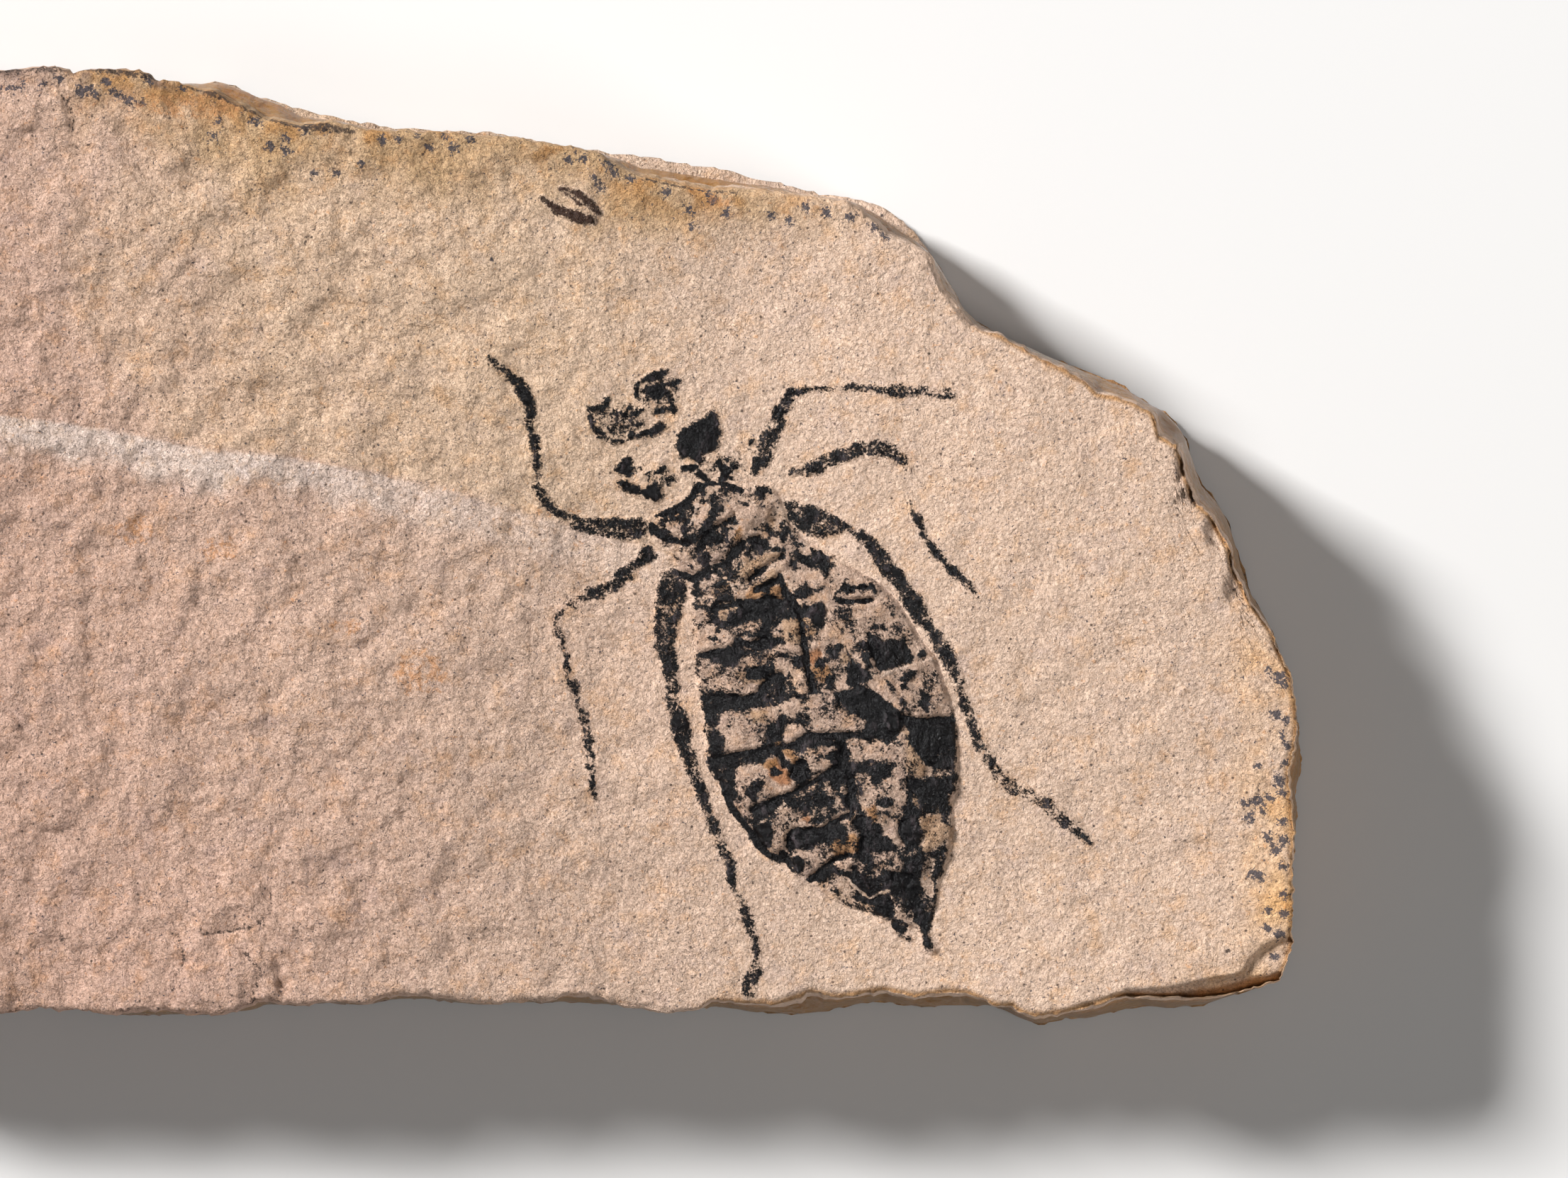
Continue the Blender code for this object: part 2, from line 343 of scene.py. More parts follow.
def left_of(x, y, route):
    """Signed distance from an open line: positive on the left of its direction as drawn with y downwards."""
    distance, along = to_segments(x, y, route, False)
    nearest = distance.argmin(-1)
    line = np.array(route, float)[:, :2]
    start = line[nearest]
    run = line[nearest + 1] - start
    side = (x - start[..., 0]) * run[..., 1] - (y - start[..., 1]) * run[..., 0]
    return np.sign(side) * distance.min(-1)


def blob(x, y, spot):
    """A soft round spot (x, y, radius across, radius down): 1 in the middle, 0 from the rim outwards."""
    distance = np.hypot((x - spot[0]) / spot[2], (y - spot[1]) / spot[3])
    return 1 - soft(distance, 0.35, 1.15)


middle = np.full((2, 1), 5.0)
middle_depth = inside(*middle, [(0, 0), (10, 0), (10, 10), (0, 10)])[0]
print("the middle of a square of ten pixels lies", middle_depth, "pixels inside it")

# %% [markdown]
# ## Outlines
# Each bed follows its solid's outline. The top of the solid is a set of triangles: an edge that only one of
# them uses lies on the outline, and joining such edges end to end gives it in order. Four corners split it
# into the sides of a patch, and each side is cut into short steps and roughened a little.

# %% The outline of a solid's top


def top_outline(name):
    """Corners of a solid's top in pixels, counterclockwise seen from above."""
    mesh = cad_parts[name].data
    points = np.empty(len(mesh.vertices) * 3)
    index = np.empty(len(mesh.polygons) * 3, int)
    mesh.vertices.foreach_get("co", points)
    mesh.polygons.foreach_get("vertices", index)
    triangles = points.reshape(-1, 3)[index.reshape(-1, 3)]
    triangles = triangles[(triangles[..., 2] > triangles[..., 2].max() - 1e-6).all(1)]
    places, number = np.unique(np.round(triangles[..., :2].reshape(-1, 2), 7), axis=0, return_inverse=True)
    number = number.reshape(-1, 3)
    edges = {(int(a), int(b)) for row in number for a, b in zip(row, np.roll(row, -1))}
    following = {a: b for a, b in edges if (b, a) not in edges}
    order = [min(following)]
    while following[order[-1]] != order[0]:
        order.append(following[order[-1]])
    return in_pixels(places[order])


face_outline = top_outline("fossil_plate")
bed_outline = top_outline("backing_plate")
print("outlines of", len(face_outline), "and", len(bed_outline), "corners")

# %% Patches between four sides
TOP_LEFT, TOP_RIGHT = (-380, 118), (1795, 893)
FOOT_RIGHT, FOOT_LEFT = (1803, 1381), (-360, 1404)
RAGGED = 2.2


def roughened(points, seed):
    """Points of an outline moved a little, each by hills that depend only on where it is."""
    x, y = points[:, 0], points[:, 1]
    shift = np.stack([hills(x, y, 9, seed, 3, 0.6), hills(x, y, 9, seed + 1, 3, 0.6)], 1)
    return points + RAGGED * shift


def side(outline, start, end, steps, seed):
    """The part of an outline between its corners nearest to two places, cut at fractions of its length."""
    first = np.hypot(*(outline - start).T).argmin()
    last = np.hypot(*(outline - end).T).argmin()
    count = (last - first) % len(outline)
    line = outline[(first + np.arange(count + 1)) % len(outline)]
    length = np.concatenate([[0], np.cumsum(np.hypot(*np.diff(line, axis=0).T))])
    cut = np.stack([np.interp(steps * length[-1], length, line[:, axis]) for axis in (0, 1)], 1)
    return roughened(cut, seed)


def patch(outline, across, down, seed):
    """A net of points inside an outline, as rows from the top.

    Each point is the blend of left and right plus the blend of top and foot, less that of the corners.
    """
    left = side(outline, TOP_LEFT, FOOT_LEFT, down, seed)
    foot = side(outline, FOOT_LEFT, FOOT_RIGHT, across, seed)
    right = side(outline, FOOT_RIGHT, TOP_RIGHT, 1 - down[::-1], seed)[::-1]
    top = side(outline, TOP_RIGHT, TOP_LEFT, 1 - across[::-1], seed)[::-1]
    u = across[None, :, None]
    v = down[:, None, None]
    corners = (1 - v) * ((1 - u) * top[0] + u * top[-1]) + v * ((1 - u) * foot[0] + u * foot[-1])
    return (1 - v) * top + v * foot + (1 - u) * left[:, None] + u * right[:, None] - corners


PLAIN_END = 0.17  # share of the width that the photograph doesn't show, with a coarser net
ACROSS = np.concatenate([np.linspace(0, PLAIN_END, 34)[:-1], np.linspace(PLAIN_END, 1, 306)])
DOWN = np.linspace(0, 1, 250)
net = patch(face_outline, ACROSS, DOWN, 11)
print("face net:", net.shape[0], "rows of", net.shape[1], "points")

# %% [markdown]
# ## From arrays to pieces
# A net of points becomes triangles, always split along the same diagonal, so that the height between its
# points is known exactly: the films need that later. Walls join one ring of points to the next one down.

# %% Faces of nets and walls


def cells(values):
    """The four corners of every cell of a net: top left, top right, foot right, foot left."""
    return values[:-1, :-1], values[:-1, 1:], values[1:, 1:], values[1:, :-1]


def net_faces(rows, columns):
    """Two triangles for each cell of a net, counterclockwise from above."""
    index = np.arange(rows * columns).reshape(rows, columns)
    a, b, c, d = cells(index)
    return np.concatenate([np.stack([a, d, c], -1).reshape(-1, 3), np.stack([a, c, b], -1).reshape(-1, 3)])


def net_rim(rows, columns):
    """Numbers of the points around a net, counterclockwise from above: left, foot, right, top."""
    index = np.arange(rows * columns).reshape(rows, columns)
    return np.concatenate([index[:-1, 0], index[-1, :-1], index[:0:-1, -1], index[0, :0:-1]])


def wall_faces(upper, lower):
    """Four-sided faces between two rings of point numbers."""
    return np.stack([np.roll(upper, -1), upper, lower, np.roll(lower, -1)], 1)


def shell(net, heights, rings):
    """Points and faces of a net with walls that hang from its rim down through rings, the last one closed.

    Each ring lists x and y in pixels and a height in metres, in the order of the rim.
    """
    rim = net_rim(*heights.shape)
    points = [in_metres(net[..., 0], net[..., 1], heights).reshape(-1, 3)]
    faces = [net_faces(*heights.shape)]
    upper = rim
    start = heights.size
    for ring in rings:
        lower = start + np.arange(len(rim))
        faces.append(wall_faces(upper, lower))
        points.append(in_metres(*ring.T))
        upper = lower
        start = start + len(rim)
    faces.append(upper[::-1][None])
    return np.concatenate(points), faces


print("a net of 3 by 3 points has", len(net_faces(3, 3)), "triangles")

# %% From arrays to a piece


def build(name, node, points, face_groups, finish, marks=None):
    """A closed piece in place of a solid, from points in metres and groups of faces, one face a row."""
    sides = np.concatenate([np.full(len(group), group.shape[1]) for group in face_groups])
    corners = np.concatenate([group.ravel() for group in face_groups])
    mesh = bpy.data.meshes.new(name)
    mesh.vertices.add(len(points))
    mesh.loops.add(len(corners))
    mesh.polygons.add(len(sides))
    mesh.vertices.foreach_set("co", points.astype(np.float32).ravel())
    mesh.loops.foreach_set("vertex_index", corners.astype(np.int32))
    mesh.polygons.foreach_set("loop_start", (np.cumsum(sides) - sides).astype(np.int32))
    mesh.polygons.foreach_set("use_smooth", np.ones(len(sides), bool))
    for mark, values in (marks or {}).items():
        wide = values.ndim == 2
        layer = mesh.attributes.new(mark, "FLOAT_COLOR" if wide else "FLOAT", "POINT")
        layer.data.foreach_set("color" if wide else "value", values.astype(np.float32).ravel())
    mesh.update(calc_edges=True)
    repaired = mesh.validate()
    mesh.materials.append(finish.material)
    piece = bpy.data.objects.new(name, mesh)
    bpy.context.scene.collection.objects.link(piece)
    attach(piece, "root")
    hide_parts(node)
    triangles = int((sides - 2).sum())
    print(name, "has", triangles, "triangles", "and needed repair" if repaired else "")


print("pieces stand in for", len(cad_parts), "solids")

# %% [markdown]
# ## The split face
# The bed broke along a plane that isn't quite flat. Broad hills carry scaly flakes on the left and low
# ripples at the lower right. The nymph's body is a flattened dome, and the edges are chipped.

# %% What stands up and what broke off
NYMPH_BODY = [
    (920, 734), (940, 722), (955, 716), (970, 700), (985, 684), (1020, 680), (1045, 688), (1085, 690),
    (1095, 705), (1102, 722), (1110, 745), (1126, 760), (1150, 776), (1185, 795), (1212, 812), (1240, 828),
    (1262, 850), (1285, 885), (1300, 912), (1316, 928), (1322, 945), (1336, 985), (1344, 1013),
    (1349, 1060), (1349, 1110), (1341, 1130), (1343, 1165), (1338, 1206), (1325, 1240), (1318, 1275),
    (1310, 1300), (1313, 1320), (1323, 1338), (1318, 1345), (1305, 1340), (1300, 1320), (1293, 1303),
    (1286, 1303), (1278, 1315), (1283, 1325), (1272, 1322), (1262, 1312), (1255, 1298), (1225, 1283),
    (1200, 1278), (1165, 1258), (1140, 1243), (1120, 1235), (1110, 1220), (1085, 1212), (1062, 1190),
    (1045, 1165), (1030, 1140), (1015, 1105), (1000, 1075), (996, 1040), (993, 1000), (986, 985),
    (984, 930), (984, 886), (978, 850), (976, 822), (960, 805), (940, 785), (922, 762),
]
CRACKS = [
    [(383, 1256, 3), (378, 1294, 4), (354, 1309, 3), (287, 1318, 3)],
    [(249, 1318, 3), (261, 1352, 4), (244, 1390, 3)], [(344, 1342, 3), (368, 1371, 4), (354, 1419, 3)],
    [(416, 1304, 3), (426, 1328, 3)], [(445, 320, 3), (416, 368, 3)], [(263, 265, 3), (292, 253, 3)],
    [(870, 1380, 3), (845, 1402, 4)], [(90, 135, 4), (100, 155, 3), (105, 190, 3), (108, 225, 2)],
]
LOWER_FOOT = [(1540, 1424), (1587, 1398), (1650, 1392), (1700, 1385), (1760, 1374), (1830, 1364)]
CHIPS = [
    (1692, 704, 34, 16), (1744, 815, 22, 46), (1718, 752, 20, 28), (1668, 655, 16, 24), (398, 1384, 16, 24),
]
SLOPE_START = 1550
LOWER_SLOPE = [
    (1560, 1420), (1587, 1393), (1650, 1390), (1690, 1381), (1719, 1376), (1751, 1371), (1761, 1351),
    (1784, 1332), (1806, 1321), (1850, 1310),
]
print(len(CRACKS), "cracks and", len(CHIPS), "chips")

# %% Relief of the split face


def distance_from(x, y, outline):
    """Distance from the nearest place on an outline, in pixels, a row of points at a time."""
    return np.stack([to_segments(row_x, row_y, outline, True)[0].min(-1) for row_x, row_y in zip(x, y)])


def face_relief(x, y, rim_distance):
    """Height of the split face above the top of its solid, in metres."""
    height = 0.16 * hills(x, y, 520, 1) + 0.07 * hills(x, y, 170, 2) + 0.022 * hills(x, y, 48, 3, 2)
    flakes = hills(x, y, 46, 4, 3, 0.6)
    scaly = 1 - 0.7 * soft(x, 500, 1100)
    ledges = soft(flakes, -0.04, 0.04) + soft(flakes, 0.4, 0.48) + soft(flakes, -0.5, -0.4)
    height = height + scaly * 0.07 * ledges
    height = height + 0.014 * hills(x, y, 14, 5, 2, 0.6)
    across_ripples = 0.35 * x + 0.94 * y
    ripples = hills(0.25 * (0.94 * x - 0.35 * y), across_ripples, 26, 6)
    height = height + 0.022 * ripples * soft(x, 1250, 1500) * soft(y, 700, 1000)
    for crack in CRACKS:
        height = height - 0.07 * soft(along_route(x, y, crack), -4, 3)
    slope = left_of(x, y, LOWER_SLOPE)
    foot = left_of(x, y, LOWER_FOOT)
    height = height - np.where(x > SLOPE_START, 0.22 * soft(-slope, 0, 8) + 0.6 * soft(-foot, 0, 26), 0)
    ragged_x = x + 9 * hills(x, y, 22, 27, 3)
    ragged_y = y + 9 * hills(x, y, 22, 28, 3)
    for chip in CHIPS:
        height = height - 0.26 * blob(ragged_x, ragged_y, chip)
    body = inside(x, y, NYMPH_BODY)
    height = height + 0.30 * soft(body, -6, 60) + 0.10 * soft(body, 20, 130)
    lip = 5 + 4 * hills(x, y, 60, 7, 2)
    height = height - (0.13 + 0.08 * hills(x, y, 40, 8, 2)) * (1 - soft(rim_distance, 0, np.maximum(lip, 2)))
    return height * MM


rim_distance = distance_from(net[..., 0], net[..., 1], face_outline)
face_height = face_top + face_relief(net[..., 0], net[..., 1], rim_distance)
print("relief from", round(float(face_height.min() - face_top) / MM, 2), "to",
      round(float(face_height.max() - face_top) / MM, 2), "mm")

# %% [markdown]
# ## Stone
# The limestone is rosy on the left and sandy on the right, with ochre stains, a pale band of another bed
# and small manganese trees. The mesh carries the large patches as a colour at each point. The shader adds
# the grain.

# %% Colours, stains and dark marks
ROSY = np.array([0.655, 0.423, 0.323])
SANDY = np.array([0.725, 0.525, 0.398])
PALE = np.array([0.80, 0.65, 0.565])
YELLOW = np.array([0.765, 0.545, 0.362])
OCHRE = np.array([0.81, 0.459, 0.1755])
TOP_OCHRE = np.array([0.55, 0.345, 0.165])
TOP_BROWN = np.array([0.50, 0.25, 0.08])
RESIN_SOAKED = np.array([0.46, 0.23, 0.07])
CRUST = np.array([0.16, 0.10, 0.08])
STAINS = [
    (190, 748, 48, 38), (312, 776, 50, 36), (488, 884, 40, 22), (592, 950, 66, 54), (718, 605, 14, 9),
    (1365, 612, 16, 9), (817, 768, 16, 10), (785, 722, 60, 16), (275, 148, 160, 34), (1015, 282, 40, 20),
]
# Pits darkened with painted shade: x, y and radius in pixels.
PITS = [(86, 1324, 12), (1732, 1341, 9), (1684, 706, 16), (1206, 960, 5)]
BAND_TOP = [
    (-420, 560), (0, 586), (96, 598), (191, 615), (287, 634), (407, 646), (507, 665), (622, 689),
    (694, 713), (900, 770),
]
TREES = [
    (115, 128, 14), (127, 125, 10), (135, 135, 10), (150, 116, 12), (160, 130, 11), (170, 136, 9),
    (183, 142, 11), (200, 146, 10), (10, 122, 13), (35, 121, 9), (62, 118, 9), (85, 112, 10),
    (210, 112, 12), (258, 126, 10), (300, 190, 11), (310, 170, 10), (360, 172, 12), (380, 206, 11),
    (404, 196, 11), (403, 214, 10), (432, 182, 12), (459, 184, 11), (442, 246, 10), (474, 244, 9),
    (509, 232, 9), (540, 198, 11), (562, 196, 8), (590, 190, 8), (605, 208, 11), (628, 190, 10),
    (640, 208, 12), (662, 195, 10), (802, 226, 11), (822, 224, 11), (846, 262, 12), (858, 230, 13),
    (866, 244, 12), (890, 252, 12), (838, 250, 9), (973, 297, 10), (977, 320, 10), (1006, 282, 11),
    (1025, 300, 11), (1087, 304, 10), (1113, 313, 11), (1135, 294, 12), (1165, 300, 13), (1200, 306, 13),
    (1235, 320, 13), (1248, 335, 10), (940, 270, 12), (1000, 270, 12), (1806, 956, 15), (1790, 946, 10),
    (1812, 966, 10), (1800, 1008, 12), (1815, 1016, 10), (1808, 1036, 10), (1816, 1052, 10),
    (1774, 1080, 8), (1813, 1076, 10), (1804, 1101, 14), (1808, 1118, 11), (1776, 1130, 17),
    (1756, 1133, 10), (1790, 1126, 10), (1762, 1154, 12), (1782, 1144, 10), (1808, 1160, 12),
    (1810, 1185, 15), (1790, 1182, 12), (1800, 1198, 12), (1776, 1237, 14), (1765, 1232, 10),
    (1810, 1222, 10), (1812, 1262, 12), (1790, 1285, 9), (1812, 1290, 10), (1787, 1310, 10),
    (1805, 1318, 13), (1798, 1350, 10), (694, 366, 6),
]
DARK_EDGES = [
    [(262, 122, 4), (330, 140, 9), (380, 158, 13), (440, 176, 12), (500, 186, 4)],
    [(-20, 104, 4), (40, 98, 6), (120, 94, 7), (215, 108, 6)],
    [(898, 250, 3), (930, 255, 5), (970, 263, 5), (1010, 270, 4), (1040, 272, 2)],
]
print(len(STAINS), "iron stains and", len(TREES), "manganese trees")

# %% Where the marks lie


def rounds(x, y, spots):
    """1 in the middle of the nearest of many round spots (x, y, radius), 0 from its rim outwards."""
    near = np.zeros(x.shape)
    for spot_x, spot_y, radius in spots:
        near = np.maximum(near, 1 - np.hypot(x - spot_x, y - spot_y) / radius)
    return near


def crack_and_pit_shade_with_dark_edges(x, y):
    """Painted shade in cracks and pits, with the dark edges: 1 in them, 0 a few pixels outside."""
    deep = rounds(x, y, PITS)
    for crack in CRACKS:
        deep = np.maximum(deep, 0.66 * soft(along_route(x, y, crack), -4, 2))
    for edge in DARK_EDGES:
        deep = np.maximum(deep, 0.75 * soft(along_route(x, y, edge), -5, 4))
    return deep


def broken(x, y):
    """How scaly the split face is: 1 on the left and less on the right."""
    return 1 - 0.65 * soft(x + 100 * hills(x, y, 200, 29), 650, 1250)


print("the split face is", broken(np.array([0.0]), np.array([700.0]))[0], "scaly at the left")

# %% Large colours of the stone


def blended(colour, other, amount):
    """Colours moved towards another one by an amount between 0 and 1."""
    return colour + (other - colour) * amount[..., None]


def stone_tint(x, y, rim_distance, ochre=1.0, marked=1.0):
    """Colour of the stone at each point. Ochre says how far weather has stained its top edge."""
    across = x + 180 * hills(x, y, 300, 21) + 0.6 * np.maximum(900 - y, 0)
    tint = blended(ROSY, SANDY, soft(across, -100, 1250))
    band = -left_of(x, y, BAND_TOP)
    yellow = soft(x + 90 * hills(x, y, 140, 24, 2), 100, 380) * (1 - soft(x, 700, 1100))
    yellow = yellow * (1 - soft(band, -12, 4))
    tint = blended(tint, YELLOW, 0.6 * yellow)
    below = soft(band, -3, 3) * (1 - soft(band + 14 * hills(x, y, 40, 27, 2), 28, 62))
    below = below * (1 - 0.7 * soft(x, 350, 880))
    tint = blended(tint, PALE, 0.8 * below)
    patchy = 0.65 + 0.5 * hills(x, y, 40, 25, 3, 0.6)
    ochre_edge = (1 - soft(rim_distance, 5, 110)) * soft(x, 1600, 1760) * soft(y, 850, 960)
    tint = blended(tint, OCHRE, 0.6 * ochre_edge * patchy)
    top = ochre * soft(x, 40, 160) * (1 - soft(x, 1000, 1300)) * (1 - soft(y, 300, 400))
    wide = top * (1 - soft(rim_distance + 40 * hills(x, y, 60, 28, 3), 10, 130))
    tint = blended(tint, TOP_OCHRE, 0.8 * wide)
    narrow = top * (1 - soft(rim_distance, 8, 60)) * soft(hills(x, y, 36, 30, 3, 0.7), -0.15, 0.4)
    tint = blended(tint, TOP_BROWN, 0.8 * narrow)
    resinous = np.maximum(soft(x, 1340, 1420), soft(x, 950, 1050) * soft(y, 900, 1000))
    resinous = resinous * (1 - soft(rim_distance, 1, 8))
    tint = blended(tint, RESIN_SOAKED, 0.85 * resinous)
    top_left = (1 - soft(x, 225, 265)) * soft(x, -60, 20) * (1 - soft(y, 150, 260))
    crust = marked * (1 - soft(rim_distance, 3, 16)) * top_left
    tint = blended(tint, CRUST, 0.8 * crust * soft(hills(x, y, 16, 26, 3, 0.7), -0.4, 0.4))
    return tint * (1 + 0.05 * hills(x, y, 120, 23, 2))[..., None]


def stone_marks(x, y, rim_distance, ochre=1.0, marked=1.0):
    """Everything the stone's shader reads from the mesh. Marked says where its small dark marks may show."""
    tint = stone_tint(x, y, rim_distance, ochre, marked)
    iron = np.zeros(x.shape)
    for stain in STAINS:
        iron = np.maximum(iron, soft(blob(x, y, stain), 0, 1))
    return {
        "tint": np.column_stack([tint, np.ones(len(tint))]),
        "trees": rounds(x, y, TREES) * marked,
        "shade_and_dark_edges": crack_and_pit_shade_with_dark_edges(x, y) * marked,
        "rough": broken(x, y),
        "iron": iron * marked,
    }


print("marks on the mesh:", *stone_marks(*np.full((3, 1), 100.0)))

# %% Grain, pores and small ledges


def stone_colour(finish, tint):
    """Grain, mottling, rusty flecks and pores over the large colours of the stone."""
    grain = finish.noise(0.14 * MM, 5, 0.8).ramp(0.28, 0.74)
    dark_grain = finish.washed(tint, (0.62, 0.57, 0.53, 1))
    colour = finish.mix(grain, dark_grain, finish.washed(tint, (1.15, 1.17, 1.19, 1)))
    warm = finish.noise(0.9 * MM, 5, 0.7).ramp(0.48, 0.72) * 0.6
    cool = finish.noise(1.3 * MM, 5, 0.7).ramp(0.50, 0.76) * 0.55
    flecks = finish.noise(0.26 * MM, 3, 0.6).ramp(0.64, 0.72) * 0.6
    colour = finish.mix(warm, colour, finish.washed(colour, (1.0, 0.82, 0.58, 1)))
    colour = finish.mix(cool, colour, finish.washed(colour, (0.82, 0.84, 0.95, 1)))
    colour = finish.mix(flecks, colour, finish.washed(colour, (1.05, 0.78, 0.52, 1)))
    pitted = {"Vector": finish.place, "Scale": 1 / (0.42 * MM)}
    near = finish.node("TexVoronoi", pitted)
    chance = finish.node("SeparateColor", {0: finish.node("TexVoronoi", pitted, output=1)})
    pores = (1 - near.ramp(0.06, 0.17)) * chance.ramp(0.40, 0.50)
    return finish.mix(pores * 0.85, colour, (0.06, 0.035, 0.025, 1))


def stone_bumps(finish, cover=0.0):
    """Small ledges where thin layers broke off, creases, then grain, which a film can cover.

    The mesh says as 'rough' how broken the face is.
    """
    rough = finish.painted("rough")
    layers = finish.noise(1.9 * MM, 8, 0.64) * 14.0
    whole = layers.sum("FLOOR", layers)
    ledges = whole + (layers - whole).ramp(0.0, 0.25)
    creases = finish.noise(0.85 * MM, 6, 0.68) - 0.5
    creases = creases.sum("ABSOLUTE", creases)
    bumps = finish.bump((ledges * 0.12 + creases) * rough, 0.46 * MM)
    bumps = finish.bump(finish.noise(0.42 * MM, 5, 0.68) * (rough * 0.6 + 0.4), 0.31 * MM, bumps)
    return finish.bump(finish.noise(0.13 * MM, 4, 0.68) * (1 - cover), 0.085 * MM, bumps)


def stone_finish(name):
    """Granular limestone. The mesh gives its large colours as 'tint'."""
    finish = Finish(name)
    colour = stone_colour(finish, finish.painted("tint", "Color"))
    twigs = finish.noise(0.12 * MM, 4, 0.7) - 0.5
    trees = (finish.painted("trees") * 0.83 + twigs * 2.6).ramp(0.28, 0.42)
    colour = finish.mix(trees * 0.9, colour, (0.040, 0.040, 0.056, 1))
    rust = (finish.painted("iron") * 0.5 + finish.noise(0.30 * MM, 5, 0.75) - 0.5).ramp(0.42, 0.60)
    colour = finish.mix(rust * 0.65, colour, (0.60, 0.27, 0.10, 1))
    # Cracks and pits are darkened with painted shade; the dark edges take the same dark brown.
    shade_and_dark_edges = (finish.painted("shade_and_dark_edges") + twigs * 1.6).ramp(0.45, 0.75)
    colour = finish.mix(shade_and_dark_edges * 0.9, colour, (0.050, 0.030, 0.022, 1))
    return finish.set(Base_Color=colour, Roughness=0.92, Normal=stone_bumps(finish))


limestone = stone_finish("limestone")
print("stone finish ready")

# %% The rim of the face and the ledge around it
rim = net_rim(*face_height.shape)
rim_place = net.reshape(-1, 2)[rim]


def nearest_on(points, outline):
    """The nearest place on an outline for each point."""
    distance, along = to_segments(points[:, 0], points[:, 1], outline, True)
    which = distance.argmin(1)
    share = along[np.arange(len(points)), which][:, None]
    return outline[which] * (1 - share) + np.roll(outline, -1, axis=0)[which] * share


def outward_of(ring):
    """The unit vector out of a ring at each of its points: the ring's run there, turned by a quarter."""
    run = np.roll(ring, -1, axis=0) - np.roll(ring, 1, axis=0)
    across_run = np.stack([-run[:, 1], run[:, 0]], 1)
    return across_run / np.hypot(*across_run.T)[:, None]


rim_out = nearest_on(rim_place, bed_outline)
band = rim_out - rim_place
outward = outward_of(rim_place)
print("widest ledge", round(float(np.hypot(*band.T).max())), "pixels")

# %% Fossil plate
PLATE_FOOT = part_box("fossil_plate")[0].z


def wall_ring(share, level, rough, seed):
    """A ring of the plate's broken edge, a share of the way over the ledge, at a level in metres."""
    x, y = rim_place[:, 0], rim_place[:, 1]
    push = rough * (0.6 + hills(x, y, 24, seed, 3, 0.6))
    place = rim_place + band * share + outward * push[:, None]
    return np.column_stack([place, level + 0.05 * MM * hills(x, y, 18, seed + 1, 2)])


def side_places(points, top, flat_count):
    """How far points lie below a bed's top, in pixels, and their places slid along by it.

    The slide keeps the stone's colours from running straight down its sides. The top's own points stay.
    """
    depth = np.maximum(top - points[:, 2], 0) / PIXEL
    depth[:flat_count] = 0
    x, y = in_pixels(points).T
    return depth, x + 0.8 * depth, y - 0.6 * depth


PLATE_EDGE = [(0.08, 0.20, 1.0), (0.12, 0.65, 1.6), (0.16, 1.10, 2.4), (0.20, 1.70, 1.6), (0.24, 2.30, 2.2)]
plate_rings = [wall_ring(share, face_top - down * MM, rough, 31 + 2 * row)
               for row, (share, down, rough) in enumerate(PLATE_EDGE)]
plate_rings.append(wall_ring(0.25, PLATE_FOOT, 0.5, 41))
points, faces = shell(net, face_height, plate_rings)
depth, x, y = side_places(points, face_top, rim_distance.size)
from_rim = np.concatenate([rim_distance.ravel(), depth[rim_distance.size:]])
marks = stone_marks(x, y, from_rim, 1.0, 1 - soft(depth, 4, 22))
build("stone_face_bed", "fossil_plate", points, faces, limestone, marks)

# %% Backing plate
BACKING_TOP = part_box("backing_plate")[1].z
BED_EDGE = [(0.1, -2.0), (0.3, -4.0), (0.5, -2.5), (0.7, -6.0), (0.87, -8.0)]
OUT_OF_WEATHER = 200.0  # pixels from the rim, where no stain of the edges reaches
bed_net = patch(bed_outline, np.linspace(0, 1, 260), np.linspace(0, 1, 146), 51)
bed_rim_distance = distance_from(bed_net[..., 0], bed_net[..., 1], bed_outline)
x, y = bed_net[..., 0], bed_net[..., 1]
edge_dip = 0.10 * (1 - soft(bed_rim_distance, 0, 14)) * (1 + hills(x, y, 30, 53, 2))
bed_height = BACKING_TOP + (0.03 * hills(x, y, 60, 52, 3) - edge_dip) * MM
under_edge = 0.45 * (1 - soft(bed_rim_distance, 0, 40)) * (0.5 + 0.4 * hills(x, y, 60, 55, 2))
under_height = (0.02 + 0.10 * soft(hills(x, y, 260, 54, 4, 0.55), -0.3, 1.0) + under_edge) * MM
bed_rim = net_rim(*bed_height.shape)
bed_place = bed_net.reshape(-1, 2)[bed_rim]
bed_outward = outward_of(bed_place)


def bed_ring(depth, push, seed):
    """A ring of the lower bed's broken side, part of the way down, pushed in or out by hills."""
    x, y = bed_place[:, 0], bed_place[:, 1]
    place = bed_place + bed_outward * (push + 3 * hills(x, y, 26, seed, 3, 0.6))[:, None]
    high = bed_height.reshape(-1)[bed_rim]
    low = under_height.reshape(-1)[bed_rim]
    return np.column_stack([place, high + (low - high) * (depth + 0.05 * hills(x, y, 30, seed + 1, 2))])


